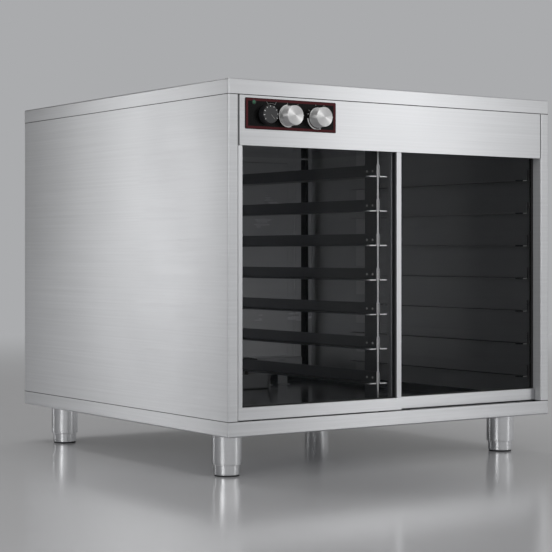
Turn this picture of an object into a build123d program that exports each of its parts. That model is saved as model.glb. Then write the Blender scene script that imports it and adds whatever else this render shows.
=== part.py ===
from build123d import *
from math import atan2, degrees
import os

# Two-column dough proofing cabinet with sliding glass doors, on adjustable legs.
# Millimetres. +Z is up, the doors face -Y, and the origin is on the floor under
# the middle of the whole part, knobs and cable gland included.

# ---------------------------------------------------------------- body
body_width = 920.0
body_depth = 965.0
body_height = 755.0      # base pan to top cover, without the legs
leg_height = 94.0
sheet = 1.2              # stainless sheet of skins and liners
bend = 3.0               # outside radius of a folded edge
seam_round = 1.0         # rounding of the edges that meet at a seam between skins
wall = 25.0              # outer skin to liner, at the sides
rear_wall = 25.0
rim_height = 33.0        # skirt of the top cover and of the base pan
cover_flange = 14.0      # return flange inside the top cover's skirt
base_lip = 3.0           # front edge of the base pan, ahead of the door tracks
jamb_depth = 34.0        # front edge of a side panel, folded back beside the doors

# ---------------------------------------------------------------- cavity
floor_height = 22.0      # underside of the floor pan above the base pan's underside
skirting = 22.0          # upstand of the floor pan
ceiling_drop = 98.0      # ceiling below the top of the cover
ceiling_flange = 8.0
air_slot_width = 26.0
air_slot_edge = 11.0     # air slot to side liner
air_slot_end = 10.0      # air slot to skirting
air_slot_top = 2.0       # air slot to ceiling
air_slot_corner = 3.0
air_slot_depth = 12.0
baffle_inset = 85.0      # baffle to side liner
baffle_depth = 5.0
baffle_end = 14.0        # baffle to skirting and to ceiling
bead_radius = 3.0
bead_offset = 25.0       # bead to the baffle's edge
insulation_top = 25.0

# ---------------------------------------------------------------- header
header_height = 107.0
header_gap = 3.0         # shadow gap at each end of the header panel
header_flange = 15.0
header_hem = 12.0
plate_inset = 42.0       # control plate to the body's left face
plate_width = 237.0
plate_height = 66.0
plate_top_gap = 6.0
plate_thickness = 1.5
plate_corner = 2.5
control_drop = 1.5       # knob axes below the plate's middle
lamp_place = (21.0, 24.0)            # from the plate's left edge, above its middle
control_places = {"temperature": 54.0, "humidity": 110.0, "timer": 187.0}
lamp_radius = 4.0
lamp_proud = 2.4
lamp_round = 1.8
lamp_body_radius = 3.4
lamp_body_length = 18.0
control_width = 34.0
control_tall = 29.0
control_length = 24.0
tab_size = (6.3, 0.8, 8.0)           # spade terminals behind a control
tab_pitch = 9.0
bushing_radius = 4.7
bushing_proud = 3.0
shaft_radius = 3.0
shaft_depth = 16.0                   # shaft behind the control plate
running_gap = 0.05                   # radial clearance of a running fit
free_gap = 0.3                       # clearance between curved faces that don't bear
knob_proud = 29.0
knob_radius = 21.1
knob_skirt_radius = 22.0
knob_skirt = 2.5
knob_lift = 0.5                      # knob's back above the control plate
knob_recess_radius = 8.0
knob_recess = 5.0
knob_chamfer = 0.8
index_width = 2.0
index_proud = 0.8
index_length = 7.0
dial_proud = 18.0
dial_radius = 19.0
dial_skirt_radius = 21.0
dial_fillet = 1.2
groove_width = 1.6
groove_depth = 0.5
groove_reach = 15.0

# ---------------------------------------------------------------- doors
door_setback = 4.0       # front door's face behind the body's face
door_depth = 14.0
door_pitch = 16.0        # front door's face to rear door's face
door_side_gap = 2.0
door_overlap = 15.5
door_lift = 34.5         # underside of the doors above the base pan's underside
door_top_gap = 7.5       # room above the doors to lift them out
door_fillet = 0.6
rail_height = 27.0
top_rail_height = 28.0
stile_width = 13.5
jamb_stile_width = 11.0
glass_thickness = 4.0
glass_offset = 9.0       # door's face to the middle of the glass
glass_slot_gap = 0.2     # each side of the glass
glass_slot = 8.0
glass_top_gap = 2.0
edge_seal_width = 3.5
edge_seal_wall = 1.2
rail_wall = 1.5
rail_chamber = 17.0
track_strip = 1.5
track_rib = 2.0
track_rib_height = 6.3
track_edge = 4.0         # strip beyond the middle of a rib
guide_engagement = 7.0   # upper fin inside the top rail's groove
guide_gap = 0.5
guide_groove = 18.0
roller_tread = 8.0
roller_flange = 10.5
roller_width = 7.0
roller_groove = 3.0
roller_pin_radius = 2.5
roller_inset = 50.0      # roller to the door's end

# ---------------------------------------------------------------- racks
runner_levels = 7
lowest_ledge = 88.0      # underside of the lowest ledge above the base pan's underside
top_ledge_gap = 95.0     # underside of the highest ledge to the ceiling
runner_rise = 28.0
runner_ledge = 27.0
runner_sheet = 2.5
runner_bend = 4.5
wall_ledge_chamfer = 13.0  # across the inner corners of the ledge ends
centre_ledge_chamfer = 5.0
wall_runner_start = 44.0  # behind the body's face
centre_start = 79.0
runner_end_gap = 205.0    # runners' rear ends to the inner back wall
spacer_size = 20.0
spacer_inset = 4.0
wall_post_thickness = 3.0
wall_post_width = 37.0
post_end_gap = 10.0       # post's rear edge to the runners' rear ends
centre_post_thickness = 5.0
centre_post_width = 48.0
centre_post_corner = 2.4

# ---------------------------------------------------------------- humidifier
pan_size = (250.0, 170.0)
pan_height = 40.0
pan_corner = 22.0
pan_draft = 6.0
pan_fillet = 6.0
pan_rim = 8.0
pan_gap = 12.0            # pan to baffle
pan_cover_gap = 4.0       # pan's rim to the cover's left end
cover_inset = 91.0        # cover's right end to the side liner
cover_width = 150.0
cover_depth = 74.0
cover_top = 98.0          # above the base pan's underside
cover_skirt = 25.0
cover_toe = 12.0
cover_wall_gap = 1.0      # cover to baffle
cover_foot_places = (26.5, 84.0)     # middle of each foot from the cover's left end
cover_foot_width = 32.0
block_size = (34.0, 44.0, 28.0)
block_inset = 6.0         # block to the cover's left end
block_front_gap = 4.0     # block to the cover's front
element_radius = 4.25
element_spacing = 26.0
element_bend = 12.5
element_drop = 15.0       # tube's axis below the cover's top plate
element_pan_gap = 5.0     # tube to the pan's floor
element_end_gap = 34.0    # loop to the pan's left end
element_entry = 24.0      # descending legs to the pan's right end

# ---------------------------------------------------------------- legs
leg_inset_x = 63.0
leg_inset_y = 103.0
leg_radius = 33.0
leg_wall = 2.0
leg_plate = 5.0
leg_bush = 10.0
leg_edge = 1.0
foot_exposed = 25.0
foot_radius = 29.0
pad_radius = 27.0
pad_height = 3.0
foot_chamfer = 1.5
stem_radius = 8.0
stem_length = 36.0

# ---------------------------------------------------------------- rear
gland_proud = 22.0
gland_inset = 130.0       # gland's axis to the body's right face
gland_drop = 34.0         # gland's axis below the top cover's skirt
gland_bore = 5.0
gland_thread = 9.8
gland_hex = 13.0          # across corners, as a radius
gland_hex_length = 7.0
gland_cap = 10.5
gland_tail = 12.0         # threaded end inside the rear panel
gland_fillet = 3.0
rear_edge_gap = 1.5
louvre_size = (60.0, 9.0, 5.0)       # width, height, projection
louvre_columns = 6
louvre_rows = 2
louvre_pitch = (82.0, 20.0)
louvre_x = -60.0
louvre_drop = 34.0        # middle of the louvres below the top cover's skirt

# ---------------------------------------------------------------- places worked out
half_width = body_width / 2
inner_x = half_width - wall
front_y = -(body_depth + gland_proud - knob_proud) / 2
rear_y = front_y + body_depth
middle_y = front_y + body_depth / 2
jamb_y = front_y + jamb_depth
back_y = rear_y - rear_wall
base_z = leg_height
base_top = base_z + rim_height
top_z = base_z + body_height
cover_z = top_z - rim_height
floor_z = base_z + floor_height + sheet
skirting_z = base_z + floor_height + skirting
ceiling_z = top_z - ceiling_drop
door_z = base_z + door_lift
track_z = ceiling_z - track_strip
door_top = track_z - door_top_gap
door_width = inner_x - door_side_gap + door_overlap / 2

os.makedirs("parts", exist_ok=True)


def save(builder, name):
    """Label a finished piece and write its STEP file."""
    builder.part.label = name
    export_step(builder.part, f"parts/{name}.step")


def y_plane(y):
    """Upright plane at this y: local x is X, local y is Z, and it faces -Y."""
    return Plane.XZ.offset(-y)


# ---------------------------------------------------------------- outer skins
with BuildPart() as top_cover:
    with BuildSketch(Plane.XY.offset(cover_z)):
        with Locations((0, middle_y)):
            RectangleRounded(body_width, body_depth, bend)
    extrude(amount=rim_height)
    fillet(top_cover.faces().sort_by(Axis.Z)[-1].edges(), radius=bend)
    offset(amount=-sheet, openings=top_cover.faces().sort_by(Axis.Z)[0])
    with BuildSketch(Plane.XY.offset(cover_z)):
        with Locations((0, middle_y)):
            Rectangle(body_width - 2 * sheet, body_depth - 2 * sheet)
            Rectangle(body_width - 2 * cover_flange, body_depth - 2 * cover_flange,
                      mode=Mode.SUBTRACT)
    extrude(amount=sheet)
    fillet(top_cover.faces().sort_by(Axis.Z)[0].outer_wire().edges(), radius=seam_round)
save(top_cover, "top_cover")

with BuildPart() as base_pan:
    with BuildSketch(Plane.XY.offset(base_z)):
        with Locations((0, middle_y)):
            RectangleRounded(body_width, body_depth, bend)
    extrude(amount=rim_height)
    fillet(base_pan.faces().sort_by(Axis.Z)[0].edges(), radius=bend)
    offset(amount=-sheet, openings=base_pan.faces().sort_by(Axis.Z)[-1])
    # the flange leaves the floor pan and the door tracks open
    with BuildSketch(Plane.XY.offset(base_top - sheet)):
        with Locations((0, middle_y)):
            Rectangle(body_width - 2 * sheet, body_depth - 2 * sheet)
        with Locations((-inner_x, front_y + base_lip)):
            Rectangle(2 * inner_x, back_y - front_y - base_lip,
                      align=(Align.MIN, Align.MIN), mode=Mode.SUBTRACT)
    extrude(amount=sheet)
    fillet(base_pan.faces().sort_by(Axis.Z)[-1].outer_wire().edges(), radius=seam_round)
save(base_pan, "base_pan")

# a side panel is one sheet: jamb, front pillar, side and rear flange
with BuildPart() as left_side_panel:
    with BuildSketch(Plane.XY.offset(base_top)):
        with BuildLine():
            FilletPolyline((-inner_x, jamb_y), (-inner_x, front_y),
                           (-half_width, front_y), (-half_width, rear_y - sheet),
                           (-inner_x, rear_y - sheet), radius=bend)
            offset(amount=sheet, side=Side.RIGHT)
        make_face()
    extrude(amount=cover_z - base_top)
save(left_side_panel, "left_side_panel")

with BuildPart() as right_side_panel:
    mirror(left_side_panel.part, about=Plane.YZ)
save(right_side_panel, "right_side_panel")

# one pressed louvre: a hood that opens downwards, standing off the plane y = 0
hood_width, hood_height, hood_reach = louvre_size
with BuildPart() as louvre:
    with BuildSketch(Plane.YZ):
        with BuildLine():
            Line((0, 0), (hood_reach, 0))
            EllipticalCenterArc((0, 0), hood_reach, hood_height, 0, arc_size=90)
            Line((0, hood_height), (0, 0))
        make_face()
    extrude(amount=hood_width / 2, both=True)
    with BuildSketch(Plane.YZ):
        with BuildLine():
            Line((0, 0), (hood_reach - sheet, 0))
            EllipticalCenterArc((0, 0), hood_reach - sheet, hood_height - sheet, 0, arc_size=90)
            Line((0, hood_height - sheet), (0, 0))
        make_face()
    extrude(amount=hood_width / 2 - sheet, both=True, mode=Mode.SUBTRACT)

gland_x = half_width - gland_inset
gland_z = cover_z - gland_drop
louvre_places = [(louvre_x + (column - (louvre_columns - 1) / 2) * louvre_pitch[0],
                  cover_z - louvre_drop + (row - (louvre_rows - 1) / 2) * louvre_pitch[1])
                 for column in range(louvre_columns) for row in range(louvre_rows)]
with BuildPart() as rear_panel:
    with BuildSketch(y_plane(rear_y)):
        with Locations((0, (base_top + cover_z) / 2)):
            Rectangle(body_width - 2 * rear_edge_gap, cover_z - base_top)
        with Locations(*louvre_places):
            Rectangle(hood_width - 2 * sheet, hood_height - sheet,
                      align=(Align.CENTER, Align.MIN), mode=Mode.SUBTRACT)
        with Locations((gland_x, gland_z)):
            Circle(gland_thread + free_gap, mode=Mode.SUBTRACT)
    extrude(amount=sheet)
    with Locations(*[(x, rear_y, z) for x, z in louvre_places]):
        add(louvre.part)
save(rear_panel, "rear_panel")

# ---------------------------------------------------------------- liners
with BuildPart() as left_inner_wall:
    with BuildSketch(Plane.XY.offset(base_top)):
        with Locations((-inner_x, jamb_y)):
            Rectangle(sheet, back_y - jamb_y, align=(Align.MAX, Align.MIN))
    extrude(amount=cover_z - base_top)
save(left_inner_wall, "left_inner_wall")

with BuildPart() as right_inner_wall:
    mirror(left_inner_wall.part, about=Plane.YZ)
save(right_inner_wall, "right_inner_wall")

with BuildPart() as ceiling_panel:
    with BuildSketch(Plane.YZ.offset(-inner_x)):
        with BuildLine():
            FilletPolyline((front_y + sheet, ceiling_z + ceiling_flange),
                           (front_y + sheet, ceiling_z), (back_y, ceiling_z), radius=bend)
            offset(amount=sheet, side=Side.LEFT)
        make_face()
    extrude(amount=2 * inner_x)
save(ceiling_panel, "ceiling_panel")

floor_front = front_y + base_lip
with BuildPart() as floor_pan:
    with BuildSketch(Plane.XY.offset(base_z + floor_height)):
        with Locations((-inner_x, floor_front)):
            Rectangle(2 * inner_x, back_y - floor_front, align=(Align.MIN, Align.MIN))
    extrude(amount=skirting)
    fillet(floor_pan.edges().filter_by(Axis.Z), radius=bend)
    fillet(floor_pan.faces().sort_by(Axis.Z)[0].edges(), radius=bend)
    offset(amount=-sheet, openings=floor_pan.faces().sort_by(Axis.Z)[-1])
    # beside and in front of the doors the upstand stops level with the base pan
    with BuildSketch(Plane.XY.offset(base_top)):
        with Locations((0, floor_front)):
            Rectangle(2 * inner_x, jamb_y - floor_front, align=(Align.CENTER, Align.MIN))
    extrude(amount=skirting, mode=Mode.SUBTRACT)
save(floor_pan, "floor_pan")

air_slot_x = inner_x - air_slot_edge - air_slot_width / 2
air_slot_low = skirting_z + air_slot_end
air_slot_high = ceiling_z - air_slot_top
baffle_half_width = inner_x - baffle_inset
bead_x = baffle_half_width + bead_offset
baffle_low = skirting_z + baffle_end
baffle_high = ceiling_z - baffle_end
with BuildPart() as inner_back_wall:
    with BuildSketch(y_plane(back_y)):
        with Locations((0, (base_top + cover_z) / 2)):
            Rectangle(2 * (inner_x + sheet), cover_z - base_top)
        with Locations((-air_slot_x, (air_slot_low + air_slot_high) / 2),
                       (air_slot_x, (air_slot_low + air_slot_high) / 2)):
            RectangleRounded(air_slot_width, air_slot_high - air_slot_low, air_slot_corner,
                             mode=Mode.SUBTRACT)
    extrude(amount=-sheet)
    with BuildSketch(Plane.XY.offset(baffle_low)):
        with Locations((-bead_x, back_y), (bead_x, back_y)):
            Circle(bead_radius)
            with Locations((0, sheet / 2)):
                Rectangle(2 * bead_radius, bead_radius, align=(Align.CENTER, Align.MIN),
                          mode=Mode.SUBTRACT)
    extrude(amount=baffle_high - baffle_low)
save(inner_back_wall, "inner_back_wall")


def baffle_block(inset):
    """The baffle's outer form, or with an inset of one sheet the hollow behind it."""
    with BuildPart() as block:
        with BuildSketch(y_plane(back_y)):
            with Locations((0, (baffle_low + baffle_high) / 2)):
                RectangleRounded(2 * (baffle_half_width - inset),
                                 baffle_high - baffle_low - 2 * inset, 2 * bend - inset)
        extrude(amount=baffle_depth - inset)
        fillet(block.faces().sort_by(Axis.Y)[0].edges(), radius=bend - inset)
    return block


with BuildPart() as rear_baffle:
    add(baffle_block(0).part)
    add(baffle_block(sheet).part, mode=Mode.SUBTRACT)
save(rear_baffle, "rear_baffle")

control_z = cover_z - plate_top_gap - plate_height / 2 - control_drop
electrics_depth = 2 * sheet + control_length + 3 * tab_size[2]
with BuildPart() as insulation:
    # side slabs
    with BuildSketch(Plane.XY.offset(base_top)):
        for side in (-1, 1):
            with Locations((side * (inner_x + half_width) / 2, middle_y)):
                Rectangle(wall - 2 * sheet, body_depth - 2 * bend - 2 * sheet)
    extrude(amount=cover_z - base_top)
    # rear slab, hollowed behind the air slots and around the gland
    with BuildSketch(Plane.XY.offset(base_top)):
        with Locations((0, back_y + sheet)):
            Rectangle(2 * inner_x, rear_wall - 2 * sheet, align=(Align.CENTER, Align.MIN))
    extrude(amount=cover_z - base_top)
    with BuildSketch(y_plane(back_y + sheet)):
        with Locations((-air_slot_x, (air_slot_low + air_slot_high) / 2),
                       (air_slot_x, (air_slot_low + air_slot_high) / 2)):
            Rectangle(air_slot_width, air_slot_high - air_slot_low)
    extrude(amount=-air_slot_depth, mode=Mode.SUBTRACT)
    with BuildSketch(y_plane(rear_y - sheet)):
        with Locations((gland_x, gland_z)):
            Circle(gland_hex)
    extrude(amount=rear_wall - 2 * sheet, mode=Mode.SUBTRACT)
    # top slab, behind the room for the controls
    with BuildSketch(Plane.XY.offset(ceiling_z + sheet)):
        with Locations((0, front_y + electrics_depth)):
            Rectangle(2 * inner_x, back_y - front_y - electrics_depth,
                      align=(Align.CENTER, Align.MIN))
    extrude(amount=insulation_top)
    # floor slab
    with BuildSketch(Plane.XY.offset(base_z + sheet)):
        with Locations((0, middle_y)):
            Rectangle(body_width - 2 * bend, body_depth - 2 * bend)
    extrude(amount=floor_height - sheet)
save(insulation, "insulation")

# ---------------------------------------------------------------- header and controls
plate_left = plate_inset - half_width
plate_z = cover_z - plate_top_gap - plate_height / 2
plate_y = front_y - plate_thickness
lamp_x = plate_left + lamp_place[0]
lamp_z = plate_z + lamp_place[1]
control_xs = {name: plate_left + reach for name, reach in control_places.items()}

with BuildPart() as header_panel:
    with BuildSketch(Plane.YZ.offset(header_gap - inner_x)):
        with BuildLine():
            FilletPolyline((front_y + header_flange, cover_z), (front_y, cover_z),
                           (front_y, cover_z - header_height), radius=bend / 2)
            offset(amount=sheet, side=Side.LEFT)
        make_face()
        # closed hem along the lower edge
        with Locations((front_y + sheet, cover_z - header_height)):
            Rectangle(sheet, header_hem, align=(Align.MIN, Align.MIN))
    extrude(amount=2 * (inner_x - header_gap))
    with BuildSketch(y_plane(front_y)):
        with Locations(*[(x, control_z) for x in control_xs.values()]):
            Circle(bushing_radius + free_gap)
        with Locations((lamp_x, lamp_z)):
            Circle(lamp_body_radius + free_gap)
    extrude(amount=-sheet, mode=Mode.SUBTRACT)
save(header_panel, "header_panel")

with BuildPart() as control_plate:
    with BuildSketch(y_plane(front_y)):
        with Locations((plate_left + plate_width / 2, plate_z)):
            RectangleRounded(plate_width, plate_height, plate_corner)
        with Locations(*[(x, control_z) for x in control_xs.values()]):
            Circle(bushing_radius + free_gap, mode=Mode.SUBTRACT)
        with Locations((lamp_x, lamp_z)):
            Circle(lamp_body_radius + free_gap, mode=Mode.SUBTRACT)
    extrude(amount=plate_thickness)
save(control_plate, "control_plate")


def turned_plane(x, z):
    """Plane for turned profiles on the control plate: local x is radius, local y is outwards."""
    return Plane(origin=(x, plate_y, z), x_dir=(1, 0, 0), z_dir=(0, 0, -1))


def turned_axis(x, z):
    return Axis((x, plate_y, z), (0, -1, 0))


with BuildPart() as pilot_lamp:
    with BuildSketch(turned_plane(lamp_x, lamp_z)):
        with BuildLine():
            Polyline((0, -lamp_body_length), (lamp_body_radius, -lamp_body_length),
                     (lamp_body_radius, 0), (lamp_radius, 0), (lamp_radius, lamp_proud),
                     (0, lamp_proud), close=True)
        make_face()
    revolve(axis=turned_axis(lamp_x, lamp_z))
    fillet(pilot_lamp.faces().sort_by(Axis.Y)[0].edges(), radius=lamp_round)
save(pilot_lamp, "pilot_lamp")

tab_width, tab_thickness, tab_length = tab_size
for name, x in control_xs.items():
    with BuildPart() as control:
        with BuildSketch(y_plane(front_y + sheet)):
            with Locations((x, control_z)):
                RectangleRounded(control_width, control_tall, bend)
        extrude(amount=-control_length)
        # spade terminals
        with BuildSketch(y_plane(front_y + sheet + control_length)):
            for column in (-1, 0, 1):
                with Locations((x + column * tab_pitch, control_z)):
                    Rectangle(tab_thickness, tab_width)
        extrude(amount=-tab_length)
        # threaded bushing through header and plate, bored for the shaft
        with BuildSketch(y_plane(front_y + sheet)):
            with Locations((x, control_z)):
                Circle(bushing_radius)
        extrude(amount=sheet + plate_thickness + bushing_proud)
        with BuildSketch(y_plane(plate_y - bushing_proud)):
            with Locations((x, control_z)):
                Circle(shaft_radius + running_gap)
        extrude(amount=-(bushing_proud + shaft_depth + knob_lift), mode=Mode.SUBTRACT)
    save(control, f"{name}_control")

for name in ("humidity", "timer"):
    x = control_xs[name]
    with BuildPart() as knob:
        with BuildSketch(turned_plane(x, control_z)):
            with BuildLine():
                Polyline((0, -shaft_depth), (shaft_radius, -shaft_depth),
                         (shaft_radius, knob_recess), (knob_recess_radius, knob_recess),
                         (knob_recess_radius, knob_lift), (knob_skirt_radius, knob_lift),
                         (knob_skirt_radius, knob_lift + knob_skirt),
                         (knob_radius, knob_lift + knob_skirt + knob_chamfer),
                         (knob_radius, knob_proud - plate_thickness - knob_chamfer),
                         (knob_radius - knob_chamfer, knob_proud - plate_thickness),
                         (0, knob_proud - plate_thickness), close=True)
            make_face()
        revolve(axis=turned_axis(x, control_z))
        # index rib on the rim, just behind the chamfer
        with BuildSketch(y_plane(front_y - knob_proud + knob_chamfer)):
            with Locations((x + knob_radius + index_proud, control_z)):
                RectangleRounded(3 * index_proud, index_width, index_proud / 2,
                                 align=(Align.MAX, Align.CENTER))
        extrude(amount=-index_length)
    save(knob, f"{name}_knob")

dial_x = control_xs["temperature"]
with BuildPart() as temperature_dial:
    with BuildSketch(turned_plane(dial_x, control_z)):
        with BuildLine():
            Polyline((0, -shaft_depth), (shaft_radius, -shaft_depth),
                     (shaft_radius, knob_recess), (knob_recess_radius, knob_recess),
                     (knob_recess_radius, knob_lift), (dial_skirt_radius, knob_lift),
                     (dial_skirt_radius, knob_lift + knob_skirt),
                     (dial_radius, dial_proud - plate_thickness),
                     (0, dial_proud - plate_thickness), close=True)
        make_face()
    revolve(axis=turned_axis(dial_x, control_z))
    fillet(temperature_dial.faces().sort_by(Axis.Y)[0].edges(), radius=dial_fillet)
    # pointer line cut in the face
    with BuildSketch(y_plane(front_y - dial_proud)):
        with Locations((dial_x, control_z)):
            SlotCenterPoint((0, -groove_reach / 2), (0, -groove_reach), groove_width, rotation=45)
    extrude(amount=-groove_depth, mode=Mode.SUBTRACT)
save(temperature_dial, "temperature_dial")

# ---------------------------------------------------------------- door tracks
door_faces = {"left": front_y + door_setback, "right": front_y + door_setback + door_pitch}
rib_ys = [face + door_depth / 2 for face in door_faces.values()]
track_front = rib_ys[0] - track_edge
track_back = rib_ys[1] + track_edge
track_half = inner_x - bend

with BuildPart() as lower_door_track:
    with BuildSketch(Plane.YZ.offset(-track_half)):
        with Locations((track_front, floor_z)):
            Rectangle(track_back - track_front, track_strip, align=(Align.MIN, Align.MIN))
        for y in rib_ys:
            with Locations((y, floor_z + track_strip)):
                Rectangle(track_rib, track_rib_height, align=(Align.CENTER, Align.MIN))
    extrude(amount=2 * track_half)
    fillet(lower_door_track.faces().sort_by(Axis.Z)[-2:].edges().filter_by(Axis.X),
           radius=track_rib / 4)
save(lower_door_track, "lower_door_track")

with BuildPart() as upper_door_track:
    with BuildSketch(Plane.YZ.offset(-inner_x)):
        with Locations((track_front, ceiling_z)):
            Rectangle(track_back - track_front, track_strip, align=(Align.MIN, Align.MAX))
        for y in rib_ys:
            with Locations((y, track_z)):
                Rectangle(track_rib, door_top_gap + guide_engagement,
                          align=(Align.CENTER, Align.MAX))
    extrude(amount=2 * inner_x)
save(upper_door_track, "upper_door_track")

# ---------------------------------------------------------------- doors
door_spans = {"left": (door_side_gap - inner_x, door_side_gap - inner_x + door_width),
              "right": (inner_x - door_side_gap - door_width, inner_x - door_side_gap)}
slot_width = glass_thickness + 2 * glass_slot_gap
top_rail_z = door_top - top_rail_height
rib_top = floor_z + track_strip + track_rib_height
roller_z = rib_top + free_gap + roller_tread


def bottom_rail(low, high, face):
    """Rail with a chamber for the rollers below and a glass slot above."""
    with BuildPart() as rail:
        with BuildSketch(Plane.YZ.offset(low)):
            with Locations((face, door_z)):
                Rectangle(door_depth, rail_height, align=(Align.MIN, Align.MIN))
            with Locations((face + rail_wall, door_z)):
                Rectangle(door_depth - 2 * rail_wall, rail_chamber,
                          align=(Align.MIN, Align.MIN), mode=Mode.SUBTRACT)
            with Locations((face + glass_offset, door_z + rail_height)):
                Rectangle(slot_width, glass_slot, align=(Align.CENTER, Align.MAX),
                          mode=Mode.SUBTRACT)
        extrude(amount=high - low)
        fillet(rail.edges().filter_by(Axis.X).group_by(Axis.Y)[0], radius=door_fillet)
        # roller pins
        with BuildSketch(y_plane(face + rail_wall)):
            with Locations((low + roller_inset, roller_z), (high - roller_inset, roller_z)):
                Circle(roller_pin_radius)
        extrude(amount=-(door_depth - 2 * rail_wall))
    return rail


def top_rail(low, high, face):
    """Rail with a glass slot below and a groove above for the track's fin."""
    with BuildPart() as rail:
        with BuildSketch(Plane.YZ.offset(low)):
            with Locations((face, top_rail_z)):
                Rectangle(door_depth, top_rail_height, align=(Align.MIN, Align.MIN))
            with Locations((face + glass_offset, top_rail_z)):
                Rectangle(slot_width, glass_slot, align=(Align.CENTER, Align.MIN),
                          mode=Mode.SUBTRACT)
            with Locations((face + door_depth / 2, door_top)):
                Rectangle(track_rib + 2 * guide_gap, guide_groove,
                          align=(Align.CENTER, Align.MAX), mode=Mode.SUBTRACT)
        extrude(amount=high - low)
    return rail


def stile(outer, inner, face):
    """Upright from rail to rail, slotted for the glass on its inner side."""
    step = 1 if inner > outer else -1
    with BuildPart() as upright:
        with BuildSketch(Plane.XY.offset(door_z + rail_height)):
            with Locations(((outer + inner) / 2, face)):
                Rectangle(abs(inner - outer), door_depth, align=(Align.CENTER, Align.MIN))
            with Locations((inner - step * glass_slot / 2, face + glass_offset)):
                Rectangle(glass_slot, slot_width, mode=Mode.SUBTRACT)
        extrude(amount=top_rail_z - door_z - rail_height)
        fillet(upright.edges().filter_by(Axis.Z).group_by(Axis.Y)[0], radius=door_fillet)
    return upright


def pane(low, high, face):
    """Glass from the floor of the lower slot to just below the end of the upper slot."""
    glass_low = door_z + rail_height - glass_slot
    glass_high = top_rail_z + glass_slot - glass_top_gap
    with BuildPart() as glass:
        with BuildSketch(Plane.XY.offset(glass_low)):
            with Locations(((low + high) / 2, face + glass_offset)):
                Rectangle(high - low, glass_thickness)
        extrude(amount=glass_high - glass_low)
    return glass


for name, (low, high) in door_spans.items():
    face = door_faces[name]
    save(bottom_rail(low, high, face), f"{name}_door_bottom_rail")
    save(top_rail(low, high, face), f"{name}_door_top_rail")

left_low, left_high = door_spans["left"]
left_face = door_faces["left"]
save(stile(left_low, left_low + jamb_stile_width, left_face), "left_door_jamb_stile")
save(stile(left_high, left_high - stile_width, left_face), "left_door_meeting_stile")
save(pane(left_low + jamb_stile_width - glass_slot, left_high - stile_width + glass_slot,
          left_face), "left_door_glass")

right_low, right_high = door_spans["right"]
right_face = door_faces["right"]
save(stile(right_low, right_low + stile_width, right_face), "right_door_meeting_stile")
save(pane(right_low + stile_width - glass_slot, right_high - edge_seal_wall, right_face),
     "right_door_glass")

with BuildPart() as right_door_edge_seal:
    with BuildSketch(Plane.XY.offset(door_z + rail_height)):
        with Locations((right_high, right_face + glass_offset)):
            Rectangle(edge_seal_width, glass_thickness + 2 * edge_seal_wall,
                      align=(Align.MAX, Align.CENTER))
        with Locations((right_high - edge_seal_wall, right_face + glass_offset)):
            Rectangle(edge_seal_width, glass_thickness, align=(Align.MAX, Align.CENTER),
                      mode=Mode.SUBTRACT)
    extrude(amount=top_rail_z - door_z - rail_height)
save(right_door_edge_seal, "right_door_edge_seal")

roller_places = {}
for name, (low, high) in door_spans.items():
    roller_places[f"{name}_door_outer_roller"] = (
        (low if name == "left" else high), (1 if name == "left" else -1), door_faces[name])
    roller_places[f"{name}_door_inner_roller"] = (
        (high if name == "left" else low), (-1 if name == "left" else 1), door_faces[name])

for name, (end, inward, face) in roller_places.items():
    x = end + inward * roller_inset
    y = face + door_depth / 2
    half = roller_width / 2
    with BuildPart() as roller:
        with BuildSketch(Plane((x, y, roller_z), x_dir=(1, 0, 0), z_dir=(0, 0, 1))):
            with BuildLine():
                Polyline((roller_pin_radius + running_gap, -half), (roller_flange, -half),
                         (roller_flange, -roller_groove / 2 - free_gap),
                         (roller_tread, -roller_groove / 2), (roller_tread, roller_groove / 2),
                         (roller_flange, roller_groove / 2 + free_gap), (roller_flange, half),
                         (roller_pin_radius + running_gap, half), close=True)
            make_face()
        revolve(axis=Axis((x, y, roller_z), (0, 1, 0)))
    save(roller, name)

# ---------------------------------------------------------------- tray racks
lowest_z = base_z + lowest_ledge
runner_pitch = (ceiling_z - top_ledge_gap - lowest_z) / (runner_levels - 1)
ledge_zs = [lowest_z + level * runner_pitch for level in range(runner_levels)]
end_y = back_y - runner_end_gap
post_back = end_y - post_end_gap

with BuildSketch() as runner_section:
    with BuildLine():
        FilletPolyline((0, runner_rise), (0, 0), (runner_ledge, 0), radius=runner_bend)
        offset(amount=runner_sheet, side=Side.LEFT)
    make_face()


def runners(upright_x, start_y, ledge_chamfer, backing):
    """Angle runners with their ledges towards +X, on an upright face at upright_x."""
    with BuildPart() as ledges:
        with BuildSketch(y_plane(start_y)):
            with Locations(*[(upright_x, z) for z in ledge_zs]):
                add(runner_section.sketch)
        extrude(amount=start_y - end_y)
        chamfer(ledges.edges().filter_by(Axis.Z).group_by(Axis.X)[-1], length=ledge_chamfer)
        if backing:
            # spacers hold the front ends off the wall by the post's thickness
            with BuildSketch(Plane.YZ.offset(upright_x - backing)):
                with Locations(*[(start_y + spacer_inset, z + spacer_inset) for z in ledge_zs]):
                    Rectangle(spacer_size, spacer_size, align=(Align.MIN, Align.MIN))
            extrude(amount=backing)
    return ledges


left_runners = runners(wall_post_thickness - inner_x, front_y + wall_runner_start,
                       wall_ledge_chamfer, wall_post_thickness)
save(left_runners, "left_runners")

with BuildPart() as right_runners:
    mirror(left_runners.part, about=Plane.YZ)
save(right_runners, "right_runners")

centre_right_runners = runners(centre_post_thickness / 2, front_y + centre_start,
                               centre_ledge_chamfer, 0)
save(centre_right_runners, "centre_right_runners")

with BuildPart() as centre_left_runners:
    mirror(centre_right_runners.part, about=Plane.YZ)
save(centre_left_runners, "centre_left_runners")

with BuildPart() as left_rack_post:
    with BuildSketch(Plane.XY.offset(skirting_z)):
        with Locations((-inner_x, post_back)):
            Rectangle(wall_post_thickness, wall_post_width, align=(Align.MIN, Align.MAX))
    extrude(amount=ceiling_z - skirting_z)
save(left_rack_post, "left_rack_post")

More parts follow.
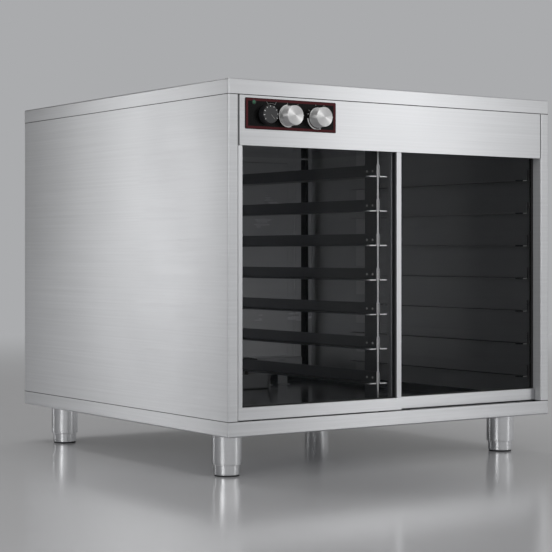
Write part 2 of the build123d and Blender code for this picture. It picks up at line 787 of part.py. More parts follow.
with BuildPart() as right_rack_post:
    mirror(left_rack_post.part, about=Plane.YZ)
save(right_rack_post, "right_rack_post")

with BuildPart() as centre_rack_posts:
    with BuildSketch(Plane.XY.offset(floor_z)):
        with Locations((0, front_y + centre_start + centre_post_width / 2),
                       (0, post_back - centre_post_width / 2)):
            RectangleRounded(centre_post_thickness, centre_post_width, centre_post_corner)
    extrude(amount=ceiling_z - floor_z)
save(centre_rack_posts, "centre_rack_posts")

# ---------------------------------------------------------------- humidifier
baffle_y = back_y - baffle_depth
cover_right = inner_x - cover_inset
cover_left = cover_right - cover_width
pan_width, pan_length = pan_size
pan_x = cover_left - pan_cover_gap - pan_width / 2
pan_y = baffle_y - pan_gap - pan_length / 2


def pan_block(inset):
    """The pan's tapered outer form, or with an inset of one sheet the basin inside it."""
    with BuildPart() as block:
        with BuildSketch(Plane.XY.offset(floor_z + pan_height)):
            with Locations((pan_x, pan_y)):
                RectangleRounded(pan_width - 2 * (pan_rim + inset),
                                 pan_length - 2 * (pan_rim + inset), pan_corner - inset)
        extrude(amount=inset - pan_height, taper=degrees(atan2(pan_draft, pan_height)))
        fillet(block.faces().sort_by(Axis.Z)[0].edges(), radius=pan_fillet - inset)
    return block


with BuildPart() as water_pan:
    add(pan_block(0).part)
    add(pan_block(sheet).part, mode=Mode.SUBTRACT)
    with BuildSketch(Plane.XY.offset(floor_z + pan_height - sheet)):
        with Locations((pan_x, pan_y)):
            RectangleRounded(pan_width, pan_length, pan_corner + pan_rim)
            RectangleRounded(pan_width - 2 * pan_rim - sheet, pan_length - 2 * pan_rim - sheet,
                             pan_corner - sheet / 2, mode=Mode.SUBTRACT)
    extrude(amount=sheet)
save(water_pan, "water_pan")

cover_back_y = baffle_y - cover_wall_gap
cover_front_y = cover_back_y - cover_depth
cover_top_z = base_z + cover_top
with BuildPart() as humidifier_cover:
    with BuildSketch(Plane.YZ.offset(cover_left)):
        with BuildLine():
            FilletPolyline((cover_front_y - cover_toe, floor_z + sheet),
                           (cover_front_y, floor_z + sheet),
                           (cover_front_y, cover_top_z), (cover_back_y, cover_top_z),
                           (cover_back_y, cover_top_z - cover_skirt), radius=bend)
            offset(amount=sheet, side=Side.LEFT)
        make_face()
    extrude(amount=cover_width)
    # windows below the skirt leave two feet
    with BuildSketch(y_plane(cover_front_y - cover_toe)):
        with Locations((cover_left, floor_z)):
            Rectangle(cover_width, cover_top_z - cover_skirt - floor_z,
                      align=(Align.MIN, Align.MIN))
        with Locations(*[(cover_left + reach, floor_z) for reach in cover_foot_places]):
            Rectangle(cover_foot_width, cover_top_z - floor_z,
                      align=(Align.CENTER, Align.MIN), mode=Mode.SUBTRACT)
    extrude(amount=-(cover_toe + cover_depth / 2), mode=Mode.SUBTRACT)
save(humidifier_cover, "humidifier_cover")

block_x = cover_left + block_inset
block_top = cover_top_z - sheet
block_y = cover_front_y + block_front_gap + block_size[1] / 2
element_z = cover_top_z - element_drop
with BuildPart() as heater_terminal_block:
    with BuildSketch(Plane.XY.offset(block_top)):
        with Locations((block_x, block_y)):
            RectangleRounded(block_size[0], block_size[1], bend, align=(Align.MIN, Align.CENTER))
    extrude(amount=-block_size[2])
    # sockets that grip the ends of the element
    with BuildSketch(Plane.YZ.offset(block_x)):
        with Locations((block_y - element_spacing / 2, element_z),
                       (block_y + element_spacing / 2, element_z)):
            Circle(element_radius + free_gap)
    extrude(amount=block_size[0] / 3, mode=Mode.SUBTRACT)
save(heater_terminal_block, "heater_terminal_block")

# the tube leaves the block, drops into the pan, loops and comes back
near_y = block_y - element_spacing / 2
far_y = block_y + element_spacing / 2
tube_end = block_x + block_size[0] / 3
drop_x = pan_x + pan_width / 2 - element_entry
loop_x = pan_x - pan_width / 2 + element_end_gap
low_z = floor_z + sheet + element_pan_gap + element_radius
with BuildPart() as immersion_heater:
    with BuildLine() as element_path:
        FilletPolyline((tube_end, near_y, element_z), (drop_x, near_y, element_z),
                       (drop_x, near_y, low_z), (loop_x, near_y, low_z),
                       (loop_x, far_y, low_z), (drop_x, far_y, low_z),
                       (drop_x, far_y, element_z), (tube_end, far_y, element_z),
                       radius=element_bend)
    with BuildSketch(Plane(origin=(tube_end, near_y, element_z), z_dir=(-1, 0, 0))):
        Circle(element_radius)
    sweep(path=element_path.wires()[0])
save(immersion_heater, "immersion_heater")

# ---------------------------------------------------------------- legs and feet
leg_places = {
    "front_left": (leg_inset_x - half_width, front_y + leg_inset_y),
    "front_right": (half_width - leg_inset_x, front_y + leg_inset_y),
    "rear_left": (leg_inset_x - half_width, rear_y - leg_inset_y),
    "rear_right": (half_width - leg_inset_x, rear_y - leg_inset_y),
}
bush_radius = stem_radius + running_gap
for name, (x, y) in leg_places.items():
    section_plane = Plane((x, y, 0), x_dir=(1, 0, 0), z_dir=(0, -1, 0))
    leg_axis = Axis((x, y, 0), (0, 0, 1))
    with BuildPart() as leg:
        with BuildSketch(section_plane):
            with BuildLine():
                Polyline((bush_radius, foot_exposed), (leg_radius - leg_edge, foot_exposed),
                         (leg_radius, foot_exposed + leg_edge), (leg_radius, leg_height),
                         (0, leg_height), (0, leg_height - leg_plate),
                         (leg_radius - leg_wall, leg_height - leg_plate),
                         (leg_radius - leg_wall, foot_exposed + leg_bush),
                         (bush_radius, foot_exposed + leg_bush), close=True)
            make_face()
        revolve(axis=leg_axis)
    save(leg, f"{name}_leg")

    with BuildPart() as foot:
        with BuildSketch(section_plane):
            with BuildLine():
                Polyline((0, 0), (pad_radius, 0), (pad_radius, pad_height),
                         (foot_radius - foot_chamfer, pad_height),
                         (foot_radius, pad_height + foot_chamfer), (foot_radius, foot_exposed),
                         (stem_radius, foot_exposed), (stem_radius, foot_exposed + stem_length),
                         (0, foot_exposed + stem_length), close=True)
            make_face()
        revolve(axis=leg_axis)
        chamfer(foot.faces().sort_by(Axis.Z)[-1].edges(), length=foot_chamfer)
    save(foot, f"{name}_foot")

# ---------------------------------------------------------------- cable gland
gland_end_y = rear_y + gland_proud
with BuildPart() as cable_gland:
    with BuildSketch(y_plane(rear_y - sheet - gland_tail)):
        with Locations((gland_x, gland_z)):
            Circle(gland_thread)
    extrude(amount=-(sheet + gland_tail))
    with BuildSketch(y_plane(rear_y)):
        with Locations((gland_x, gland_z)):
            RegularPolygon(gland_hex, 6)
    extrude(amount=-gland_hex_length)
    with BuildSketch(y_plane(rear_y + gland_hex_length)):
        with Locations((gland_x, gland_z)):
            Circle(gland_cap)
    extrude(amount=-(gland_proud - gland_hex_length))
    fillet(cable_gland.faces().sort_by(Axis.Y)[-1].edges(), radius=gland_fillet)
    with BuildSketch(y_plane(gland_end_y)):
        with Locations((gland_x, gland_z)):
            Circle(gland_bore)
    extrude(amount=gland_proud + sheet + gland_tail, mode=Mode.SUBTRACT)
save(cable_gland, "cable_gland")
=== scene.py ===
from math import atan2, cos, pi, radians, sin

import bmesh
import bpy
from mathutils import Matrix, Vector


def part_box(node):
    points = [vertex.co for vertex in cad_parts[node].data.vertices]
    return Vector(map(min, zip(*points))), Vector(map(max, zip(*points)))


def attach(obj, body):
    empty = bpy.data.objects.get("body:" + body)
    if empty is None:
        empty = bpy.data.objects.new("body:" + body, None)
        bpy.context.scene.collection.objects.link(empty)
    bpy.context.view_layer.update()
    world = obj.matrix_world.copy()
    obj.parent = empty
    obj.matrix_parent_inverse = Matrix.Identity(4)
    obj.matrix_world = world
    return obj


# Finishes, small fittings, studio and camera for a stainless dough proofing cabinet.
# Metres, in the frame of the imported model: +Z is up and the doors face -Y.

bl_info = {
    "name": "Proofing cabinet finishes",
    "version": (1, 0, 0),
    "blender": (4, 5, 0),
    "location": "3D View > Sidebar > Proofer",
    "description": "Finishes, small fittings and studio for a dough proofing cabinet",
    "category": "Object",
}

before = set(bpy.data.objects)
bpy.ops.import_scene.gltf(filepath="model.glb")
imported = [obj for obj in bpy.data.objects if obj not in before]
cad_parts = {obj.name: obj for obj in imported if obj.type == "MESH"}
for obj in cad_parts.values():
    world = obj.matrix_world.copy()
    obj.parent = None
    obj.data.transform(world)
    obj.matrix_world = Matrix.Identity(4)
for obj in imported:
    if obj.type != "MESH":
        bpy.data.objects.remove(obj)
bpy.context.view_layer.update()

PLATE_LOW, PLATE_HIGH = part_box("control_plate")
TOP_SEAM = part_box("top_cover")[0].z     # where the side panels meet the top cover
LOW_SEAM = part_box("base_pan")[1].z      # where they meet the base pan
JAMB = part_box("ceiling_panel")[1].x     # the door opening's half width
LEVEL = 0.7             # a face whose normal rises more than this counts as level
SEAM = 0.0008           # half the width of the painted shade line in a seam
AIM = (0, 0, 0.45)      # the point that the soft boxes face

# soft boxes: key, where it stands, its place, its width and height, and its power in watts
SOFT_BOXES = (
    ("front", "at the front right", (2.28, -3.3, 0.9), (0.7, 2.2), 6.6),
    ("side", "at the back left", (-2.54, 3.3, 0.9), (0.5, 2.2), 8.4),
    ("left", "at the front left", (-3.6, -1.75, 1.1), (1.3, 1.4), 20),
    ("top", "overhead", (-0.3, 1.4, 3.4), (2.6, 2.4), 32),
    ("key", "high in front", (0.5, -3.9, 1.9), (0.8, 0.9), 14),
)

# printed marks beside the knobs. Angles are in degrees from +X over +Z, and radii are metres
# from the knob's axis. A tick also has the way that it points.
TICKS = (("humidity_knob", 95, 0.0262, 95), ("humidity_knob", 44, 0.035, 90),
         ("timer_knob", 99, 0.0275, 99), ("timer_knob", 146, 0.0262, 146))
SIGNS = (("humidity_knob", 37, 0.0327), ("timer_knob", 55, 0.0305))
RING_ARC, SCALE_ARC, SIGN_ARC = (95, 290), (185, 290), (70, 110)    # first and last angle
SCALE_START = 164       # angle of the square mark that starts the timer's scale
SIGN_LEGS = ((113, 124), (67, 55))      # a cold and a hot sign: angle, and way that it points
BOLD_MARKS = (1, 2)     # marks of the dial that are printed bold
POINTER = -45           # angle of the dial's pointer


def linear(code):
    """An sRGB hex colour as the linear values that Blender's colour sockets take."""
    parts = [int(code[i:i + 2], 16) / 255 for i in (0, 2, 4)]
    return tuple(c / 12.92 if c <= 0.04045 else ((c + 0.055) / 1.055) ** 2.4 for c in parts)


def setting(kind, **fixed):
    """A short form of one kind of property, which takes a name, a description and a value."""
    def short(name, description, value):
        return kind(name=name, description=description, default=value, **fixed)
    return short


one, several = bpy.props.FloatProperty, bpy.props.FloatVectorProperty
number = setting(one)
amount = setting(one, min=0)
length = setting(one, unit="LENGTH", min=0, precision=5)
focal = setting(one, unit="CAMERA", min=1)
angle = setting(one, subtype="ANGLE")
power = setting(one, subtype="POWER", min=0)
count = setting(bpy.props.IntProperty, min=2)
spot = setting(several, subtype="XYZ", unit="LENGTH", size=3)
extent = setting(several, unit="LENGTH", size=2, min=0)
bearing = setting(several, subtype="DIRECTION", size=3)
tint = setting(several, subtype="COLOR", size=3, min=0, max=1)


def colour(name, description, code):
    return tint(name, description, linear(code))


# ---------------------------------------------------------------- sizes and colours
class ProoferFinishes(bpy.types.PropertyGroup):
    stainless: colour("Brushed stainless", "Outer skins and door frames", "C9CACC")
    liner: colour("Mill-finish stainless", "Liners and wall runners of the cavity", "C2C3C5")
    # a lighter copy of the liner's steel: painted light on the back of the cavity
    back: colour("Back wall steel", "Back wall, baffle and wall posts of the cavity", "ECEDEF")
    rack: colour("Rack steel", "Centre posts and runners of the tray racks", "8A8B8E")
    # painted shade: the wall runners' level faces and mitred ends are darkened as if they mirror
    # the dark cavity
    level_shade: colour("Worn steel", "Level faces and mitres of the wall runners", "1E1F21")
    # painted highlight: the front edges are drawn white where they catch the front light
    edge: colour("Cut edge", "Sheared front edges of the wall runners and centre posts", "FFFFFF")
    silicone: colour("Grey silicone", "Seals at the header's ends", "6E6F71")
    pan: colour("Floor steel", "Floor of the cavity", "5E5F62")
    polished: colour("Polished stainless", "Legs, feet and humidifier", "D0D1D3")
    aluminium: colour("Bare aluminium", "Control knobs and rivets", "E2E2E2")
    anodised: colour("Anodised aluminium", "Door tracks", "B9BABC")
    enamel: colour("Black panel", "Control plate", "060606")
    border: colour("Panel border", "Printed border of the control plate", "4E0F16")
    marks: colour("Panel marks", "Printed scales", "F6F6F4")
    faint: colour("Faint marks", "Small printed marks and the dial's pointer", "8E8E8C")
    plastic: colour("Black plastic", "Dial, controls, gland, lamp bezel and foot pads", "1C1D1F")
    lamp: colour("Lamp lens", "Pilot lamp", "145A3A")
    glass: colour("Tinted glass", "Door panes", "15181A")
    rubber: colour("Black rubber", "Glazing gaskets and edge seal", "141414")
    nylon: colour("Grey nylon", "Door rollers", "3A3B3D")
    # the black facing is real, and it also stands in for the shade deep in the back wall's air
    # slots: painted shade
    wool: colour("Faced mineral wool", "Insulation with its black tissue facing", "1B1A19")
    sheath: colour("Annealed sheath", "Immersion heater", "6E665E")


class ProoferFittings(bpy.types.PropertyGroup):
    border_width: length("Border width", "Width of the control plate's printed border", 0.0056)
    border_inset: length("Border inset", "Printed border inside the control plate's edge", 0.0008)
    print_thickness: length("Print thickness", "Height of printed marks above the plate", 0.00015)
    ring_radius: length("Ring radius", "Middle of the humidity knob's printed ring", 0.0233)
    ring_width: length("Ring width", "Width of the humidity knob's printed ring", 0.0022)
    scale_radius: length("Scale radius", "Middle of the timer's printed arc", 0.0255)
    scale_width: length("Scale width", "Width of the timer's printed arc", 0.003)
    start_size: length("Start size", "Side of the square mark that starts the timer's arc", 0.002)
    tick_length: length("Tick length", "Length of a printed tick", 0.004)
    tick_width: length("Tick width", "Width of a printed tick", 0.0013)
    sign_radius: length("Sign radius", "Middle of the small printed circle beside a knob", 0.0019)
    leg_radius: length("Sign leg radius", "Signs above the dial, from its axis", 0.0275)
    leg_length: length("Sign leg length", "Length of a sign above the dial", 0.009)
    leg_width: length("Sign leg width", "Width of a sign above the dial", 0.0009)
    arc_radius: length("Arc radius", "Middle of the thin arc between those signs", 0.0245)
    arc_width: length("Arc width", "Width of the thin arc", 0.0006)
    pointer_width: length("Pointer width", "Width of the dial's painted pointer", 0.0013)
    bezel_gap: length("Bezel gap", "Gap between the pilot lamp and the ring round it", 0.0001)
    bezel_width: length("Bezel width", "Width of the ring round the pilot lamp", 0.0012)
    bezel_depth: length("Bezel depth", "Height of that ring above the plate", 0.0009)
    gasket_width: length("Gasket width", "Visible width of a glazing gasket", 0.0022)
    gasket_depth: length("Gasket depth", "Height of a glazing gasket above the glass", 0.0016)
    seal_depth: length("Seal depth", "Thickness of the seals at the header's ends", 0.0006)
    rivet_radius: length("Rivet radius", "Radius of a blind rivet's head", 0.0028)
    rivet_height: length("Rivet height", "Height of a blind rivet's head", 0.0014)
    pad_share: amount("Pad share", "Height of a foot's pad as a share of the foot", 0.12)


class ProoferStudio(bpy.types.PropertyGroup):
    backdrop: colour("Backdrop", "Background behind the cabinet", "AAABAD")
    floor: colour("Floor", "Pale studio floor", "D6D6D8")
    floor_radius: length("Floor radius", "Reach of the studio floor", 9)
    fade_start: length("Fade start", "Where the floor starts to fade into the backdrop", 1.2)
    fade_end: length("Fade end", "Where the floor has become the backdrop", 6.0)
    horizon: amount("Horizon light", "What lights matt surfaces from the horizon", 0.495)
    zenith: amount("Zenith light", "What lights matt surfaces from above", 0.33)
    crown: amount("Crown", "Rise of a direction from which the zenith's light comes", 0.7)
    dark_end: amount("Dark end", "What metal sees of the room behind the cabinet", 0.05)
    light_end: amount("Light end", "What metal sees of the room in front of the cabinet", 0.68)
    dark_turn: number("Dark turn", "Turn to the light side at the room's dark end", -0.95)
    light_turn: number("Light turn", "Turn to the light side at its light end", 0.6)
    light_side: bearing("Light side", "Direction of the room's light end", (0.4, -0.92, 0))
    eye: spot("Camera", "Place of the camera", (-2.3208, -3.3453, 0.4814))
    heading: angle("Heading", "Turn of the camera right of +Y", radians(34.66))
    lens: focal("Lens", "Focal length of the camera", 106.53)
    shift: number("Vertical shift", "Lens shift that keeps uprights upright", -0.04125)


for key, where, place, size, watts in SOFT_BOXES:
    label, box = f"{key.title()} box", f"of the soft box {where}"
    ProoferStudio.__annotations__.update({
        f"{key}_place": spot(f"{label} place", f"Place {box}", place),
        f"{key}_size": extent(f"{label} size", f"Width and height {box}", size),
        f"{key}_power": power(f"{label} power", f"Power {box}", watts)})


# ---------------------------------------------------------------- shader nodes
def wire(tree, target, sockets):
    """Set a node's sockets, each to a value, an output, or a node's first live output."""
    for key, value in sockets.items():
        if isinstance(value, bpy.types.Node):
            value = next(output for output in value.outputs if output.enabled)
        if isinstance(value, bpy.types.NodeSocket):
            tree.links.new(value, target.inputs[key])
        else:
            target.inputs[key].default_value = value


def node(tree, kind, sockets=(), **settings):
    """Add a shader node with its settings, and its sockets as wire takes them."""
    made = tree.nodes.new("ShaderNode" + kind)
    for key, value in settings.items():
        setattr(made, key, value)
    wire(tree, made, dict(sockets))
    return made


def start(name, **constants):
    """A new material with its Principled shader's constant sockets set, and the place on
    the piece."""
    made = bpy.data.materials.new(name)
    made.use_nodes = True
    tree = made.node_tree
    shader = tree.nodes["Principled BSDF"]
    wire(tree, shader, {key.replace("_", " "): value for key, value in constants.items()})
    return made, tree, shader, node(tree, "TexCoord").outputs["Object"]


def facing(tree):
    """The parts of the piece's own normal."""
    return node(tree, "SeparateXYZ", {0: node(tree, "TexCoord").outputs["Normal"]}).outputs


def streaked(tree, place, sizes, detail, **more):
    """Noise stretched over a place, with streaks of these sizes in metres."""
    mapped = node(tree, "Mapping", {"Vector": place, "Scale": [1 / size for size in sizes]})
    return node(tree, "TexNoise", {"Vector": mapped, "Scale": 1.0, "Detail": detail, **more})


def shades(tree, factor, dark, light, base):
    """A colour that runs between two brightnesses of base with the factor."""
    return node(tree, "Mix", {0: factor, 6: (*[dark * c for c in base], 1),
                              7: (*[min(1, light * c) for c in base], 1)}, data_type="RGBA")


def beyond(tree, value, limit):
    """1 where a value is farther from 0 than the limit."""
    size = node(tree, "Math", {0: value}, operation="ABSOLUTE")
    return node(tree, "Math", {0: size, 1: limit}, operation="GREATER_THAN")


def patterned(name, base, pattern, tones, gloss=None, relief=None, stretch=None,
              kind="TexNoise", **constants):
    """A finish drawn by one pattern on the piece: pattern holds its sockets, tones the two
    brightnesses of base and gloss the two roughnesses that it runs between, and relief the
    strength and depth of its bump. stretch draws it out to these sizes in metres."""
    made, tree, shader, place = start(name, **constants)
    if stretch:
        place = node(tree, "Mapping", {"Vector": place, "Scale": [1 / size for size in stretch]})
    drawn = node(tree, kind, {"Vector": place, **pattern})
    wire(tree, shader, {"Base Color": shades(tree, drawn, *tones, base)})
    if gloss:
        wire(tree, shader, {"Roughness": node(tree, "MapRange", {
            "Value": drawn, "To Min": gloss[0], "To Max": gloss[1]})})
    if relief:
        wire(tree, shader, {"Normal": node(tree, "Bump", {
            "Strength": relief[0], "Distance": relief[1], "Height": drawn})})
    return made


# ---------------------------------------------------------------- metals
def painted_seam_shade(tree, height):
    """1 on the skins, falling to 0 in the narrow seams at the top cover and the base pan, where
    shade is painted.
    """
    marks = [node(tree, "Math", {0: height, 1: seam, 2: SEAM}, operation="COMPARE")
             for seam in (TOP_SEAM, LOW_SEAM)]
    both = node(tree, "Math", {0: marks[0], 1: marks[1]}, operation="MAXIMUM")
    return node(tree, "Math", {0: 1.0, 1: both}, operation="SUBTRACT")


def brushed_stainless(name, base, upright=False, seams=False, jambs=False):
    """Austenitic stainless sheet, belt-brushed: soft streaks along the sheet that stretch
    highlights across the grain. Real scratches are 0.1 mm apart; the streaks are drawn 5 mm
    apart and finer, as coarse as they need to be to show."""
    made, tree, shader, place = start(name, Metallic=1.0, Anisotropic=0.6)
    where = node(tree, "SeparateXYZ", {0: place}).outputs
    along = node(tree, "Math", {0: where["X"], 1: where["Y"]}, operation="ADD")
    if upright:
        along, across = where["Z"], along
    else:
        flat = beyond(tree, facing(tree)["Z"], LEVEL)
        across = node(tree, "Mix", {0: flat, 2: where["Z"], 3: where["Y"]})
    line = node(tree, "CombineXYZ", {"X": along, "Y": across})
    streaks = streaked(tree, line, (0.5, 0.005, 1), 3.0, Roughness=0.6)
    clouds = node(tree, "TexNoise", {"Vector": place, "Scale": 3.2, "Detail": 2.0})
    metal = shades(tree, streaks, 0.86, 1.12, base)
    # painted shade: a dark line in the seams, where the groove between the sheets lies in shade
    if seams:
        metal = node(tree, "Mix", {0: painted_seam_shade(tree, where["Z"]), 6: (0.05, 0.05, 0.05, 1),
                                   7: metal}, data_type="RGBA")
    gloss = node(tree, "Math", {
        0: node(tree, "MapRange", {"Value": streaks, "To Min": 0.26, "To Max": 0.36}),
        1: node(tree, "MapRange", {"Value": clouds, "To Min": -0.03, "To Max": 0.05}),
    }, operation="ADD")
    if jambs:
        # the returned edges beside the doors are duller than the faces
        face = beyond(tree, where["X"], JAMB + 0.0002)
        wire(tree, shader, {"Metallic": node(tree, "MapRange", {
            "Value": face, "To Min": 0.12, "To Max": 1.0})})
    bump = node(tree, "Bump", {"Strength": 0.08, "Distance": 0.0003, "Height": streaks})
    # light spreads across the grain, which runs level on upright faces and along X on flat
    # ones; the lean in the upright keeps the product from vanishing on flat faces
    normal = node(tree, "NewGeometry").outputs["Normal"]
    grain = node(tree, "VectorMath", {0: normal, 1: (0.0, 0.02, 1.0)}, operation="CROSS_PRODUCT")
    if not upright:
        grain = node(tree, "VectorMath", {0: grain, 1: normal}, operation="CROSS_PRODUCT")
    unit = node(tree, "VectorMath", {0: grain}, operation="NORMALIZE")
    wire(tree, shader, {"Base Color": metal, "Roughness": gloss, "Normal": bump, "Tangent": unit})
    return made


def rolled_stainless(name, base, low, high, ledge=None, front_highlight=None, level_shade=None, metal_share=1.0):
    """Cold-rolled 2B stainless, as it comes from the mill: a dull even sheen with faint
    clouding and long rolling streaks, between the roughnesses low and high. The streaks are
    drawn 10 mm apart so that they show. Between the two distances from the middle in ledge,
    the square-cut front ends take the highlight colour, a painted highlight. Level faces and
    the rest of the ends take the shade colour, which on the wall runners is painted shade. A
    metal_share below 1 makes only that share of the sheet metal and the rest matt, so that it
    scatters its base colour."""
    made, tree, shader, place = start(name, Metallic=metal_share)
    streaks = streaked(tree, place, (0.3, 0.3, 0.01), 3.0)
    clouds = node(tree, "TexNoise", {"Vector": place, "Scale": 9.0, "Detail": 3.0})
    mixed = node(tree, "Mix", {0: 0.4, 2: clouds, 3: streaks})
    metal = shades(tree, mixed, 0.82, 1.15, base)
    normal = facing(tree)
    # painted shade on level faces and front ends, which would mirror the dark cavity
    if level_shade:
        level = beyond(tree, normal["Z"], LEVEL)
        # the ends' mitred corners face half sideways
        end = node(tree, "Math", {0: normal["Y"], 1: -0.6}, operation="LESS_THAN")
        dark = node(tree, "Math", {0: level, 1: end}, operation="MAXIMUM")
        metal = node(tree, "Mix", {0: dark, 6: metal, 7: (*level_shade, 1)}, data_type="RGBA")
    # painted highlight on the square front ends between the two distances
    if ledge:
        square = node(tree, "Math", {0: normal["Y"], 1: -1.0, 2: 0.2}, operation="COMPARE")
        across = node(tree, "SeparateXYZ", {0: place}).outputs["X"]
        distance = node(tree, "Math", {0: across}, operation="ABSOLUTE")
        near = node(tree, "Math", {0: distance, 1: sum(ledge) / 2,
                                   2: (ledge[1] - ledge[0]) / 2}, operation="COMPARE")
        both = node(tree, "Math", {0: square, 1: near}, operation="MULTIPLY")
        metal = node(tree, "Mix", {0: both, 6: metal, 7: (*front_highlight, 1)}, data_type="RGBA")
    gloss = node(tree, "MapRange", {"Value": mixed, "To Min": low, "To Max": high})
    wire(tree, shader, {"Base Color": metal, "Roughness": gloss})
    return made


def polished_tube(name, base, pad_top=None, pad=None):
    """Drawn stainless tube, buffed round its axis: bright, with faint rings. Rings are drawn
    1.5 mm apart. Below pad_top it is the black pad that a foot stands on."""
    made, tree, shader, place = start(name, Metallic=1.0, Anisotropic=0.3)
    rings = streaked(tree, place, (0.05, 0.05, 0.0015), 3.0)
    metal = shades(tree, rings, 0.9, 1.06, base)
    gloss = node(tree, "MapRange", {"Value": rings, "To Min": 0.2, "To Max": 0.28})
    if pad_top is not None:
        height = node(tree, "SeparateXYZ", {0: place}).outputs["Z"]
        above = node(tree, "Math", {0: height, 1: pad_top}, operation="GREATER_THAN")
        metal = node(tree, "Mix", {0: above, 6: (*pad, 1), 7: metal}, data_type="RGBA")
        gloss = node(tree, "Mix", {0: above, 2: 0.6, 3: gloss})
        wire(tree, shader, {"Metallic": above})
    wire(tree, shader, {"Base Color": metal, "Roughness": gloss})
    return made


def turned_aluminium(name, base, centre):
    """Aluminium bar faced on a lathe: rings round the spindle draw the light into bright
    cones on the face. Real rings are 0.05 mm apart; these are drawn 0.7 mm apart."""
    made, tree, shader, place = start(name, Metallic=1.0, Anisotropic=1.0)
    arm = node(tree, "VectorMath", {0: place, 1: centre}, operation="SUBTRACT")
    level = node(tree, "VectorMath", {0: arm, 1: (1, 0, 1)}, operation="MULTIPLY")
    radius = node(tree, "VectorMath", {0: level}, operation="LENGTH")
    depth = node(tree, "SeparateXYZ", {0: arm}).outputs["Y"]
    turn = node(tree, "CombineXYZ", {"X": radius, "Y": depth})
    rings = streaked(tree, turn, (0.0007, 0.0007, 1), 2.0)
    # light spreads along the radius on the face, and along the spindle on the round side
    ring = node(tree, "VectorMath", {0: level, 1: (0, 1, 0)}, operation="CROSS_PRODUCT")
    ring = node(tree, "VectorTransform", {0: ring}, vector_type="VECTOR",
                convert_from="OBJECT", convert_to="WORLD")
    normal = node(tree, "NewGeometry").outputs["Normal"]
    across = node(tree, "VectorMath", {0: normal, 1: ring}, operation="CROSS_PRODUCT")
    wire(tree, shader, {
        "Base Color": shades(tree, rings, 0.9, 1.08, base),
        "Roughness": node(tree, "MapRange", {"Value": rings, "To Min": 0.4, "To Max": 0.5}),
        "Normal": node(tree, "Bump", {"Strength": 0.1, "Distance": 0.0001, "Height": rings}),
        "Tangent": node(tree, "VectorMath", {0: across}, operation="NORMALIZE")})
    return made


def rivet_aluminium(name, base):
    """Aluminium blind rivet: bright but dulled by its oxide, mottled about 1 mm across."""
    return patterned(name, base, {"Scale": 900.0, "Detail": 2.0}, (0.9, 1.1), (0.25, 0.4),
                     Metallic=0.6)


def extruded_aluminium(name, base):
    """Clear-anodised extrusion: satin, with die lines along its length. Lines are drawn
    1 mm apart."""
    return patterned(name, base, {"Scale": 1.0, "Detail": 2.0}, (0.88, 1.08), (0.3, 0.42),
                     stretch=(0.3, 0.001, 0.001), Metallic=1.0, Anisotropic=0.3)


def annealed_sheath(name, base):
    """Heater tube after annealing: dull, with straw and grey oxide patches about 20 mm long."""
    return patterned(name, base, {"Scale": 50.0, "Detail": 4.0}, (0.6, 1.25), (0.38, 0.6),
                     Metallic=1.0)


# ---------------------------------------------------------------- everything but metal
def moulded(name, base, low, high, ior=1.5):
    """Moulded or extruded polymer: an even colour with slight flow clouding, and a fine
    spark-eroded grain, 0.6 mm wide, that breaks up its sheen between the roughnesses low
    and high."""
    made, tree, shader, place = start(name, IOR=ior)
    flow = node(tree, "TexNoise", {"Vector": place, "Scale": 28.0, "Detail": 2.0})
    fine = node(tree, "TexNoise", {"Vector": place, "Scale": 1 / 0.0006, "Detail": 1.0})
    wire(tree, shader, {
        "Base Color": shades(tree, flow, 0.85, 1.2, base),
        "Roughness": node(tree, "MapRange", {"Value": fine, "To Min": low, "To Max": high}),
        "Normal": node(tree, "Bump", {"Strength": 0.25, "Distance": 0.00004, "Height": fine})})
    return made


def panel_lacquer(name, base):
    """Semi-gloss black film laminated on the control plate: smooth, with a faint orange
    peel about 3 mm across."""
    return patterned(name, base, {"Scale": 330.0, "Detail": 2.0}, (0.8, 1.3), (0.22, 0.34),
                     (0.12, 0.0001), IOR=1.5, Specular_IOR_Level=0.1)


def screen_print(name, base):
    """Screen-printed ink: matt and slightly uneven where the mesh laid it down, with a
    mottle about 0.8 mm across."""
    return patterned(name, base, {"Scale": 1250.0, "Detail": 1.0}, (0.82, 1.1), (0.4, 0.55),
                     IOR=1.48, Specular_IOR_Level=0.2)


def tinted_pane(name, base):
    """Toughened float glass with a grey tint: see-through, with a clear reflection. A faint
    haze of about 60 mm keeps it from looking empty. Alpha stands for the tint, so that
    light still falls into the cavity behind it."""
    return patterned(name, base, {"Scale": 16.0, "Detail": 2.0}, (0.8, 1.2), (0.03, 0.07),
                     IOR=1.5, Alpha=0.12, Specular_IOR_Level=0.18)


def lamp_lens(name, base):
    """Translucent green polycarbonate lens, unlit: glossy, darker in its depth, with
    prisms of about 1 mm moulded inside."""
    return patterned(name, base, {"Scale": 900.0}, (0.6, 1.7), relief=(0.2, 0.0001),
                     kind="TexVoronoi", IOR=1.58, Roughness=0.12)


def mineral_wool(name, base):
    """Stone wool slab under a black glass tissue: matt, with tangled fibres about 2 mm apart."""
    return patterned(name, base, {"Scale": 500.0, "Detail": 4.0, "Distortion": 1.5}, (0.6, 1.3),
                     relief=(0.6, 0.001), IOR=1.4, Roughness=0.95)


# ---------------------------------------------------------------- modelling helpers
def alone(obj):
    """Leave edit mode, and make obj the only selected object."""
    if bpy.context.object and bpy.context.object.mode != "OBJECT":
        bpy.ops.object.mode_set(mode="OBJECT")
    bpy.ops.object.select_all(action="DESELECT")
    if obj:
        bpy.context.view_layer.objects.active = obj
        obj.select_set(True)


def settle(obj):
    """Put the object's place, turn and size into its mesh."""
    alone(obj)
    bpy.ops.object.transform_apply(location=True, rotation=True, scale=True)


